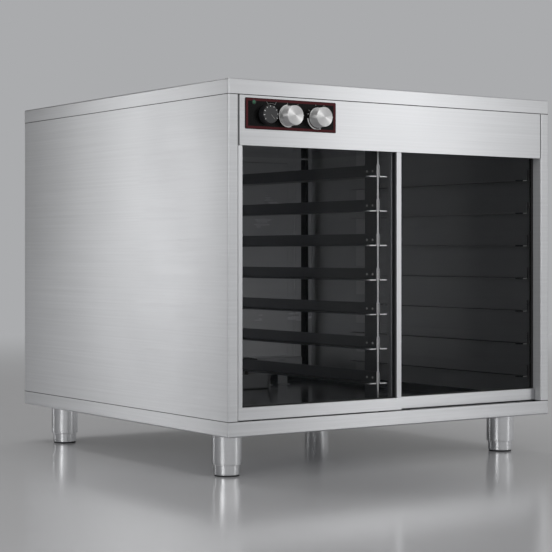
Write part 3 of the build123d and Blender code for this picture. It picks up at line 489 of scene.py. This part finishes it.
def pick_faces(obj, wanted=lambda centre, normal: True):
    """Enter edit mode with only the faces selected whose centre and normal are wanted."""
    alone(obj)
    bpy.ops.object.mode_set(mode="EDIT")
    bpy.context.tool_settings.mesh_select_mode = (False, False, True)
    bpy.ops.mesh.select_all(action="DESELECT")
    mesh = bmesh.from_edit_mesh(obj.data)
    for face in mesh.faces:
        face.select_set(bool(wanted(face.calc_center_median(), face.normal)))
    bmesh.update_edit_mesh(obj.data)


def leave_rim(obj, width):
    """Cut a flat piece out, but for a rim of this width."""
    pick_faces(obj)
    bpy.ops.mesh.inset(thickness=width, depth=0)
    bpy.ops.mesh.delete(type="FACE")


def apply(obj, kind, **settings):
    """Add a modifier to obj and apply it."""
    alone(obj)
    modifier = obj.modifiers.new(kind.title(), kind)
    for key, value in settings.items():
        setattr(modifier, key, value)
    bpy.ops.object.modifier_apply(modifier=modifier.name)


def join(parts, name):
    """One object from several, with their places in its mesh."""
    alone(parts[0])
    for part in parts:
        part.select_set(True)
    bpy.ops.object.join()
    parts[0].name = parts[0].data.name = name
    return parts[0]


def fit(obj, material, body):
    """Give a finished piece its material and its body."""
    obj.data.materials.clear()
    obj.data.materials.append(material)
    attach(obj, body)


def coat(nodes, material):
    """Dress CAD nodes in a material."""
    for name in nodes:
        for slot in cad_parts[name].material_slots:
            slot.material = material


def node_mesh(name):
    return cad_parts[name].data


def box_centre(name, y):
    """The middle of a node's box, moved to the plane y."""
    low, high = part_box(name)
    return Vector(((low.x + high.x) / 2, y, (low.z + high.z) / 2))


def knob_centre(name, y):
    """Where a knob's axis meets the plane y. The index nub widens a knob's box on one side,
    so the height gives the radius."""
    low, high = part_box(name)
    return Vector((low.x + (high.z - low.z) / 2, y, (low.z + high.z) / 2))


def around(centre, degrees, radius):
    """A place on an upright face that looks along -Y, by its angle from +X over +Z."""
    turn = radians(degrees)
    return centre + radius * Vector((cos(turn), 0, sin(turn)))


def every(*words):
    """The CAD nodes whose names hold any of these words."""
    return [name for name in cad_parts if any(word in name for word in words)]


def upright_frame(name, low, high, y, width, depth):
    """A flat frame just inside the opening from low to high, given as (x, z), standing on
    the plane y and proud of it towards -Y, or towards +Y where depth is negative."""
    alone(None)
    bpy.ops.mesh.primitive_plane_add(size=1, rotation=(pi / 2, 0, 0),
                                     location=((low[0] + high[0]) / 2, y, (low[1] + high[1]) / 2))
    strip = bpy.context.object
    strip.name = strip.data.name = name
    strip.scale = (high[0] - low[0], high[1] - low[1], 1)
    settle(strip)
    leave_rim(strip, width)
    apply(strip, "SOLIDIFY", thickness=abs(depth), offset=1 if depth > 0 else -1)
    apply(strip, "BEVEL", width=min(width, abs(depth)) / 4, segments=2, limit_method="ANGLE")
    return strip


def flat_ring(name, centre, radius, width, depth, first=0, last=360):
    """An arc on an upright face that looks along -Y; angles from +X over +Z, in degrees."""
    alone(None)
    bpy.ops.mesh.primitive_circle_add(vertices=72, radius=radius + width / 2, fill_type="NGON",
                                      location=centre, rotation=(pi / 2, 0, 0))
    ring = bpy.context.object
    ring.name = ring.data.name = name
    settle(ring)
    leave_rim(ring, width)
    if last - first < 360:
        middle_angle, half = (first + last) / 2, (last - first) / 2

        def outside(middle, normal):
            angle = atan2(middle.z - centre[2], middle.x - centre[0]) * 180 / pi
            return abs((angle - middle_angle + 180) % 360 - 180) > half

        pick_faces(ring, outside)
        bpy.ops.mesh.delete(type="FACE")
    apply(ring, "SOLIDIFY", thickness=depth, offset=1)
    return ring


def flat_bar(name, centre, angle, long, wide, depth):
    """A bar with rounded ends on an upright face that looks along -Y."""
    alone(None)
    bpy.ops.mesh.primitive_plane_add(size=1, rotation=(pi / 2, 0, 0))
    bar = bpy.context.object
    bar.name = bar.data.name = name
    bar.scale = (long, wide, 1)
    settle(bar)
    bar.rotation_euler = (0, -radians(angle), 0)
    bar.location = centre
    settle(bar)
    pick_faces(bar)
    bpy.ops.mesh.bevel(offset=wide * 0.3, segments=3, affect="VERTICES")
    apply(bar, "SOLIDIFY", thickness=depth, offset=1)
    return bar


def rivets(name, places, radius, height):
    """Blind rivets, each given as (place, direction): a domed head with its mandrel hole."""
    alone(None)
    bpy.ops.mesh.primitive_cylinder_add(vertices=16, radius=radius, depth=height,
                                        location=(0, 0, height / 2))
    head = bpy.context.object
    settle(head)
    pick_faces(head, lambda centre, normal: normal.z > 0.9)
    bpy.ops.mesh.bevel(offset=height * 0.7, segments=3, affect="EDGES")
    pick_faces(head, lambda centre, normal: normal.z > 0.99)
    bpy.ops.mesh.inset(thickness=radius * 0.3, depth=0)
    bpy.ops.mesh.extrude_region_move(TRANSFORM_OT_translate={"value": (0, 0, -height * 0.5)})
    alone(head)
    copies = []
    for place, direction in places:
        copy = head.copy()
        copy.data = head.data.copy()
        bpy.context.collection.objects.link(copy)
        copy.rotation_euler = Vector(direction).to_track_quat("Z", "Y").to_euler()
        copy.location = place
        settle(copy)
        copies.append(copy)
    bpy.data.objects.remove(head)
    group = join(copies, name)
    alone(group)
    bpy.ops.object.shade_smooth_by_angle(angle=radians(35))
    return group


# ---------------------------------------------------------------- finishes
def chosen(context):
    """The fittings and finishes as they are set in the scene."""
    return context.scene.proofer_fittings, context.scene.proofer_finishes


class PROOFER_OT_skins(bpy.types.Operator):
    """Brush the outer skins, the header and the door frames"""
    bl_idname = "proofer.skins"
    bl_label = "Brushed skins"

    def execute(self, context):
        base = context.scene.proofer_finishes.stainless
        coat(["top_cover", "base_pan", "header_panel", "rear_panel"],
             brushed_stainless("brushed_stainless_skin", base, seams=True))
        coat(every("side_panel"),
             brushed_stainless("brushed_stainless_side", base, seams=True, jambs=True))
        coat(every("door_bottom_rail", "door_top_rail"),
             brushed_stainless("brushed_stainless_rail", base))
        coat(every("_stile"), brushed_stainless("brushed_stainless_stile", base, upright=True))
        return {"FINISHED"}


class PROOFER_OT_cavity(bpy.types.Operator):
    """Give the liners, racks and pans their mill finish"""
    bl_idname = "proofer.cavity"
    bl_label = "Cavity"

    def execute(self, context):
        finishes = context.scene.proofer_finishes
        liner, back, rack, level_shade, edge, pan, polished = (
            getattr(finishes, key)
            for key in ("liner", "back", "rack", "level_shade", "edge", "pan", "polished"))
        # distances from the middle between which the square-cut front ends and edges get a painted
        # highlight
        wall_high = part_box("right_runners")[1].x
        wall_end = (wall_high - 0.017, wall_high - 0.005)
        rack_low, rack_high = (corner.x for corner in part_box("centre_right_runners"))
        rack_end = (rack_low + 0.003, rack_high)
        post_edge = (0, 0.0022)
        for nodes, name, base, low, high, more in (
                # the back wall, baffle and wall posts are the liner's steel made lighter and
                # mostly matt: painted light
                (("inner_back_wall", "rear_baffle"), "back", back, 0.2, 0.32,
                 {"metal_share": 0.3}),
                (("left_inner_wall", "right_inner_wall"), "wall", liner, 0.34, 0.44, {}),
                (("left_runners", "right_runners"), "wall_runner", liner, 0.34, 0.44,
                 {"ledge": wall_end, "front_highlight": edge, "level_shade": level_shade}),
                (("ceiling_panel",), "ceiling", liner, 0.08, 0.14, {}),
                (("floor_pan",), "floor", pan, 0.12, 0.2, {}),
                # the centre runners' front ends take the polished colour as a painted highlight
                (("centre_left_runners", "centre_right_runners"), "rack", rack, 0.24, 0.36,
                 {"ledge": rack_end, "front_highlight": polished}),
                # the centre posts' front edge takes the white painted highlight
                (("centre_rack_posts",), "centre_post", rack, 0.24, 0.36,
                 {"ledge": post_edge, "front_highlight": edge, "level_shade": rack}),
                (("left_rack_post", "right_rack_post"), "wall_post", back, 0.2, 0.3,
                 {"metal_share": 0.15}),
                (("water_pan", "humidifier_cover"), "pan", polished, 0.22, 0.36,
                 {"metal_share": 0.8})):
            coat(nodes, rolled_stainless(f"mill_finish_{name}", base, low, high, **more))
        coat(["immersion_heater"],
             annealed_sheath("annealed_heater_sheath", finishes.sheath))
        # its black facing shows in the air slots, partly as painted shade of the deep slots
        coat(["insulation"], mineral_wool("mineral_wool_slab", finishes.wool))
        return {"FINISHED"}


class PROOFER_OT_legs(bpy.types.Operator):
    """Polish the legs and feet"""
    bl_idname = "proofer.legs"
    bl_label = "Legs and feet"

    def execute(self, context):
        fittings, finishes = chosen(context)
        bottom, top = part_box("front_left_foot")[0].z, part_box("front_left_leg")[0].z
        pad_top = bottom + fittings.pad_share * (top - bottom)
        coat(every("_leg"), polished_tube("polished_stainless_leg", finishes.polished))
        coat(every("_foot"), polished_tube("polished_stainless_foot", finishes.polished,
                                           pad_top, finishes.plastic))
        return {"FINISHED"}


class PROOFER_OT_doors(bpy.types.Operator):
    """Finish the panes, seals, rollers and tracks"""
    bl_idname = "proofer.doors"
    bl_label = "Doors"

    def execute(self, context):
        finishes = context.scene.proofer_finishes
        coat(every("door_glass"), tinted_pane("grey_toughened_glass", finishes.glass))
        coat(["right_door_edge_seal"],
             moulded("extruded_epdm_seal", finishes.rubber, 0.55, 0.7, ior=1.52))
        coat(every("roller"),
             moulded("moulded_nylon_roller", finishes.nylon, 0.35, 0.5, ior=1.53))
        coat(every("door_track"), extruded_aluminium("anodised_track", finishes.anodised))
        return {"FINISHED"}


class PROOFER_OT_controls(bpy.types.Operator):
    """Finish the control plate, lamp, dial, knobs and gland"""
    bl_idname = "proofer.controls"
    bl_label = "Controls"

    def execute(self, context):
        finishes = context.scene.proofer_finishes
        coat(["control_plate"], panel_lacquer("laminated_black_panel", finishes.enamel))
        coat(["pilot_lamp"], lamp_lens("green_polycarbonate_lens", finishes.lamp))
        black, bare = finishes.plastic, finishes.aluminium
        coat(["temperature_dial"], moulded("moulded_phenolic_dial", black, 0.38, 0.5, ior=1.55))
        coat(every("_control", "terminal_block"),
             moulded("moulded_black_housing", black, 0.5, 0.65))
        coat(["cable_gland"], moulded("moulded_nylon_gland", black, 0.4, 0.55, ior=1.53))
        for name in ("humidity_knob", "timer_knob"):
            centre = knob_centre(name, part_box(name)[0].y)
            coat([name], turned_aluminium(f"turned_aluminium_{name}", bare, centre))
        return {"FINISHED"}


# ---------------------------------------------------------------- small fittings
class PROOFER_OT_gaskets(bpy.types.Operator):
    """Lay a glazing gasket round each pane, in front of and behind the glass, and a seal in
    the joint at each end of the header"""
    bl_idname = "proofer.gaskets"
    bl_label = "Gaskets and seals"

    def execute(self, context):
        fittings, finishes = chosen(context)
        rubber = moulded("extruded_epdm_gasket", finishes.rubber, 0.55, 0.7, ior=1.52)
        ends = {"left": ("left_door_jamb_stile", "left_door_meeting_stile"),
                "right": ("right_door_meeting_stile", "right_door_edge_seal")}
        for side, (first, last) in ends.items():
            glass_low, glass_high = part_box(f"{side}_door_glass")
            low = (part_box(first)[1].x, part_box(f"{side}_door_bottom_rail")[1].z)
            high = (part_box(last)[0].x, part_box(f"{side}_door_top_rail")[0].z)
            for face, y, depth in (("front", glass_low.y, fittings.gasket_depth),
                                   ("rear", glass_high.y, -fittings.gasket_depth)):
                strip = upright_frame(f"{side}_door_{face}_gasket", low, high, y,
                                      fittings.gasket_width, depth)
                fit(strip, rubber, f"{side}_door")
        # the joint runs from the header's end to the side panel, in front of the ceiling
        header_low, header_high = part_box("header_panel")
        joint, y = JAMB - header_high.x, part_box("ceiling_panel")[0].y
        middle, tall = (header_low.z + header_high.z) / 2, header_high.z - header_low.z
        seals = [flat_bar("seal", (side * (JAMB - joint / 2), y, middle), 90, tall - joint,
                          joint, fittings.seal_depth) for side in (-1, 1)]
        grey = moulded("extruded_silicone_seal", finishes.silicone, 0.5, 0.65, ior=1.43)
        fit(join(seals, "header_joint_seals"), grey, "cabinet")
        return {"FINISHED"}


def rivet_up(context, name, places, finish):
    """Set a group of blind rivets in the cabinet."""
    fittings, finishes = chosen(context)
    group = rivets(name, places, fittings.rivet_radius, fittings.rivet_height)
    fit(group, rivet_aluminium(finish, finishes.aluminium), "cabinet")


class PROOFER_OT_rack_rivets(bpy.types.Operator):
    """Rivet the runners to the centre posts, two at each end of each level"""
    bl_idname = "proofer.rack_rivets"
    bl_label = "Rack rivets"

    lift: length("Lift", "Rivets above a ledge's underside", 0.014)
    first: length("First", "First rivet behind the post's front edge", 0.014)
    pitch: length("Pitch", "Second rivet behind the first", 0.021)
    apart: length("Apart", "Least height between two levels", 0.03)

    def execute(self, context):
        post_low, post_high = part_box("centre_rack_posts")
        mesh = node_mesh("centre_left_runners")
        # a ledge is the lowest part of its runner, so its underside faces down
        heights = sorted({round(face.center.z, 4) for face in mesh.polygons
                          if face.normal.z < -0.99})
        levels = [z for z, below in zip(heights, [None] + heights)
                  if below is None or z - below > self.apart]
        # the flange's outer face is the nearer of the two that look away from the post
        face = min(face.center.x for face in node_mesh("centre_right_runners").polygons
                   if face.normal.x > 0.99)
        places = [((side * face, y, z + self.lift), (side, 0, 0))
                  for z in levels
                  for depth in (self.first, self.first + self.pitch)
                  for y in (post_low.y + depth, post_high.y - depth)
                  for side in (-1, 1)]
        rivet_up(context, "rack_rivets", places, "rack_rivet")
        return {"FINISHED"}


class PROOFER_OT_panel_rivets(bpy.types.Operator):
    """Rivet the rear panel along its edges"""
    bl_idname = "proofer.panel_rivets"
    bl_label = "Panel rivets"

    edge: length("Edge", "Rivets from the rear panel's edge", 0.012)
    columns: count("Columns", "Rivets along a level edge", 6)
    rows: count("Rows", "Rivets along an upright edge", 5)
    plain: length("Plain", "Height above the middle up to which the sheet is plain", 0.2)

    def execute(self, context):
        low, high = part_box("rear_panel")
        plain_top = (low.z + high.z) / 2 + self.plain
        sheet_face = max(face.center.y for face in node_mesh("rear_panel").polygons
                         if face.normal.y > 0.99 and face.center.z < plain_top)
        left, right = low.x + self.edge, high.x - self.edge
        bottom, top = low.z + self.edge, high.z - self.edge
        along = [left + (right - left) * i / (self.columns - 1) for i in range(self.columns)]
        up = [bottom + (top - bottom) * i / (self.rows - 1) for i in range(1, self.rows - 1)]
        spots = [(x, z) for x in along for z in (bottom, top)]
        spots += [(x, z) for z in up for x in (left, right)]
        rivet_up(context, "rear_panel_rivets", [((x, sheet_face, z), (0, 1, 0)) for x, z in spots],
                 "panel_rivet")
        return {"FINISHED"}


class PROOFER_OT_print(bpy.types.Operator):
    """Print the control plate's border, scales and marks"""
    bl_idname = "proofer.print"
    bl_label = "Panel print"

    shift: length("Shift", "Signs above the dial, to the right of its axis", 0.0123)

    def execute(self, context):
        fittings, finishes = chosen(context)
        ink, inset = fittings.print_thickness, fittings.border_inset
        border = upright_frame("plate_border", (PLATE_LOW.x + inset, PLATE_LOW.z + inset),
                               (PLATE_HIGH.x - inset, PLATE_HIGH.z - inset), PLATE_LOW.y,
                               fittings.border_width, ink)
        fit(border, screen_print("printed_dark_red", finishes.border), "cabinet")
        humidity, timer = (knob_centre(name, PLATE_LOW.y)
                           for name in ("humidity_knob", "timer_knob"))
        thermostat = knob_centre("temperature_dial", PLATE_LOW.y) + Vector((self.shift, 0, 0))
        square = fittings.start_size
        bold = [flat_ring("ring", humidity, fittings.ring_radius, fittings.ring_width, ink,
                          *RING_ARC),
                flat_ring("scale", timer, fittings.scale_radius, fittings.scale_width, ink,
                          *SCALE_ARC),
                flat_bar("start", around(timer, SCALE_START, fittings.scale_radius),
                         SCALE_START, square, square, ink)]
        faint = [flat_bar("tick", around(knob_centre(knob, PLATE_LOW.y), at, radius), turn,
                          fittings.tick_length, fittings.tick_width, ink)
                 for knob, at, radius, turn in TICKS]
        faint += [flat_ring("sign", around(knob_centre(knob, PLATE_LOW.y), at, radius),
                            fittings.sign_radius, fittings.tick_width * 0.7, ink)
                  for knob, at, radius in SIGNS]
        # a cold and a hot sign stand above the thermostat, joined by a thin arc
        faint += [flat_bar("leg", around(thermostat, at, fittings.leg_radius), turn,
                           fittings.leg_length, fittings.leg_width, ink)
                  for at, turn in SIGN_LEGS]
        faint.append(flat_ring("arc", thermostat, fittings.arc_radius, fittings.arc_width, ink,
                               *SIGN_ARC))
        for name, marks, ink_colour in (("plate_scales", bold, finishes.marks),
                                        ("plate_signs", faint, finishes.faint)):
            fit(join(marks, name), screen_print(f"printed_{name}", ink_colour),
                "cabinet")
        return {"FINISHED"}


class PROOFER_OT_dial_marks(bpy.types.Operator):
    """Print the scale on the dial and fill its pointer groove"""
    bl_idname = "proofer.dial_marks"
    bl_label = "Dial marks"

    count: count("Marks", "Marks round the dial", 9)
    start: angle("Start", "Angle of the first mark", radians(216))
    step: angle("Step", "Angle between marks", radians(30.3))
    reach: amount("Reach", "Marks from the dial's axis, as a share of its width", 0.41)
    mark_length: length("Mark length", "Length of a mark", 0.0026)
    mark_width: length("Mark width", "Width of a mark", 0.0011)
    bold: amount("Bold", "Size of a bold mark against the others", 1.35)
    pointer_middle: length("Pointer middle", "Pointer's middle from the dial's axis", 0.0077)
    pointer_length: length("Pointer length", "Length of the painted pointer", 0.0136)
    groove: length("Groove", "Paint's depth in the groove, below the dial's face", 0.0004)
    paint: length("Paint", "Thickness of the paint", 0.0003)

    def execute(self, context):
        fittings, finishes = chosen(context)
        low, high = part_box("temperature_dial")
        centre = box_centre("temperature_dial", low.y)
        reach = (high.x - low.x) * self.reach
        bars = []
        for i in range(self.count):
            turn = self.start - i * self.step
            size = self.bold if i in BOLD_MARKS else 1
            bars.append(flat_bar("mark", centre + reach * Vector((cos(turn), 0, sin(turn))),
                                 turn * 180 / pi, self.mark_length * size,
                                 self.mark_width * size, fittings.print_thickness))
        fit(join(bars, "dial_marks"), screen_print("printed_dial_marks", finishes.marks),
            "temperature_dial")
        # the pointer is painted in the groove that runs from the dial's middle
        place = around(centre, POINTER, self.pointer_middle) + Vector((0, self.groove, 0))
        pointer = flat_bar("dial_pointer", place, POINTER, self.pointer_length,
                           fittings.pointer_width, self.paint)
        fit(pointer, screen_print("painted_pointer", finishes.faint),
            "temperature_dial")
        return {"FINISHED"}


class PROOFER_OT_bezel(bpy.types.Operator):
    """Set a ring round the pilot lamp"""
    bl_idname = "proofer.bezel"
    bl_label = "Lamp bezel"

    def execute(self, context):
        fittings, finishes = chosen(context)
        low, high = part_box("pilot_lamp")
        radius = (high.x - low.x) / 2 + fittings.bezel_gap + fittings.bezel_width / 2
        ring = flat_ring("lamp_bezel", box_centre("pilot_lamp", PLATE_LOW.y), radius,
                         fittings.bezel_width, fittings.bezel_depth)
        apply(ring, "BEVEL", width=fittings.bezel_depth / 3, segments=2, limit_method="ANGLE")
        fit(ring, moulded("moulded_lamp_bezel", finishes.plastic, 0.3, 0.42), "cabinet")
        return {"FINISHED"}


# ---------------------------------------------------------------- studio
def any_ray(tree, first, *others):
    """1 for rays of any of these kinds."""
    rays = node(tree, "LightPath").outputs
    found = rays[f"Is {first} Ray"]
    for kind in others:
        found = node(tree, "Math", {0: found, 1: rays[f"Is {kind} Ray"]}, operation="MAXIMUM")
    return found


class PROOFER_OT_studio(bpy.types.Operator):
    """Lay the floor, light the room and set up the camera"""
    bl_idname = "proofer.studio"
    bl_label = "Studio"

    def execute(self, context):
        studio, scene = context.scene.proofer_studio, context.scene
        self.floor(studio)
        self.room(scene, studio)
        for key, *_ in SOFT_BOXES:
            self.soft_box(f"{key}_soft_box", *(getattr(studio, f"{key}_{part}")
                                               for part in ("place", "size", "power")))
        lens = bpy.data.cameras.new("camera")
        lens.lens, lens.sensor_width, lens.shift_y = studio.lens, 36, studio.shift
        lens.dof.use_dof = False
        camera = bpy.data.objects.new("camera", lens)
        camera.location = studio.eye
        camera.rotation_euler = (pi / 2, 0, -studio.heading)
        scene.collection.objects.link(camera)
        scene.camera = camera
        scene.view_settings.view_transform = "Standard"
        return {"FINISHED"}

    def floor(self, studio):
        alone(None)
        bpy.ops.mesh.primitive_circle_add(vertices=64, radius=studio.floor_radius,
                                          fill_type="NGON")
        ground = bpy.context.object
        ground.name = "studio_floor"
        made, tree, shader, place = start("painted_studio_floor", Roughness=0.15, IOR=1.45)
        clouds = node(tree, "TexNoise", {"Vector": place, "Scale": 2.0, "Detail": 3.0})
        wire(tree, shader, {"Base Color": shades(tree, clouds, 0.97, 1.03,
                                                 studio.floor)})
        # far out the floor fades into the backdrop, which lights nothing
        reach = node(tree, "VectorMath", {0: place}, operation="LENGTH")
        far = node(tree, "MapRange", {"Value": reach, "From Min": studio.fade_start,
                                      "From Max": studio.fade_end},
                   interpolation_type="SMOOTHSTEP")
        seen = any_ray(tree, "Camera", "Glossy", "Transmission")
        share = node(tree, "Math", {0: far, 1: seen}, operation="MULTIPLY")
        glow = node(tree, "Emission", {"Color": (*studio.backdrop, 1), "Strength": 1.0})
        mixed = node(tree, "MixShader", {0: share, 1: shader, 2: glow})
        wire(tree, tree.nodes["Material Output"], {"Surface": mixed})
        ground.data.materials.append(made)

    def room(self, scene, studio):
        """Matt surfaces get a little more light from the horizon than from above. The camera
        sees the backdrop. Metal and glass see a room that is light in front of the cabinet
        and dark behind it."""
        world = bpy.data.worlds.new("studio_room")
        world.use_nodes = True
        tree = world.node_tree
        tree.nodes.clear()
        direction = node(tree, "TexCoord").outputs["Generated"]
        turn = node(tree, "VectorMath", {0: direction, 1: studio.light_side},
                    operation="DOT_PRODUCT")
        level = node(tree, "MapRange", {
            "Value": turn, "From Min": studio.dark_turn, "From Max": studio.light_turn,
            "To Min": studio.dark_end, "To Max": studio.light_end})
        height = node(tree, "SeparateXYZ", {0: direction}).outputs["Z"]
        dome = node(tree, "MapRange", {
            "Value": height, "From Min": 0.0, "From Max": studio.crown,
            "To Min": studio.horizon, "To Max": studio.zenith})
        white = (1, 1, 1, 1)
        even = node(tree, "Background", {"Color": white, "Strength": dome})
        walls = node(tree, "Background", {"Color": white, "Strength": level})
        plain = node(tree, "Background", {"Color": (*studio.backdrop, 1), "Strength": 1.0})
        mixed = node(tree, "MixShader", {0: any_ray(tree, "Glossy", "Transmission"), 1: even,
                                         2: walls})
        mixed = node(tree, "MixShader", {0: any_ray(tree, "Camera"), 1: mixed, 2: plain})
        node(tree, "OutputWorld", {"Surface": mixed})
        scene.world = world

    def soft_box(self, name, place, size, power):
        lamp = bpy.data.lights.new(name, "AREA")
        lamp.shape, lamp.size, lamp.size_y, lamp.energy = "RECTANGLE", *size, power
        box = bpy.data.objects.new(name, lamp)
        box.location = place
        aim = Vector(AIM) - Vector(place)
        box.rotation_euler = aim.to_track_quat("-Z", "Y").to_euler()
        bpy.context.scene.collection.objects.link(box)


# ---------------------------------------------------------------- the add-on
STEPS = (PROOFER_OT_studio, PROOFER_OT_skins, PROOFER_OT_cavity, PROOFER_OT_legs, PROOFER_OT_doors,
         PROOFER_OT_controls, PROOFER_OT_gaskets, PROOFER_OT_rack_rivets, PROOFER_OT_panel_rivets,
         PROOFER_OT_print, PROOFER_OT_dial_marks, PROOFER_OT_bezel)
GROUPS = {"proofer_finishes": ProoferFinishes, "proofer_fittings": ProoferFittings,
          "proofer_studio": ProoferStudio}


class PROOFER_PT_panel(bpy.types.Panel):
    """Buttons and settings for the proofing cabinet"""
    bl_idname = "PROOFER_PT_panel"
    bl_label = "Proofing cabinet"
    bl_space_type = "VIEW_3D"
    bl_region_type = "UI"
    bl_category = "Proofer"

    def draw(self, context):
        for step in STEPS:
            self.layout.operator(step.bl_idname)
        for name in GROUPS:
            box = self.layout.box()
            group = getattr(context.scene, name)
            for key in group.bl_rna.properties.keys():
                if key not in ("rna_type", "name"):
                    box.prop(group, key)


def register():
    for name, group in GROUPS.items():
        bpy.utils.register_class(group)
        setattr(bpy.types.Scene, name, bpy.props.PointerProperty(type=group))
    for step in (*STEPS, PROOFER_PT_panel):
        bpy.utils.register_class(step)


def unregister():
    for step in (PROOFER_PT_panel, *reversed(STEPS)):
        bpy.utils.unregister_class(step)
    for name, group in GROUPS.items():
        delattr(bpy.types.Scene, name)
        bpy.utils.unregister_class(group)


def main():
    register()
    for step in STEPS:
        group, call = step.bl_idname.split(".")
        getattr(getattr(bpy.ops, group), call)()


if __name__ == "__main__":
    main()
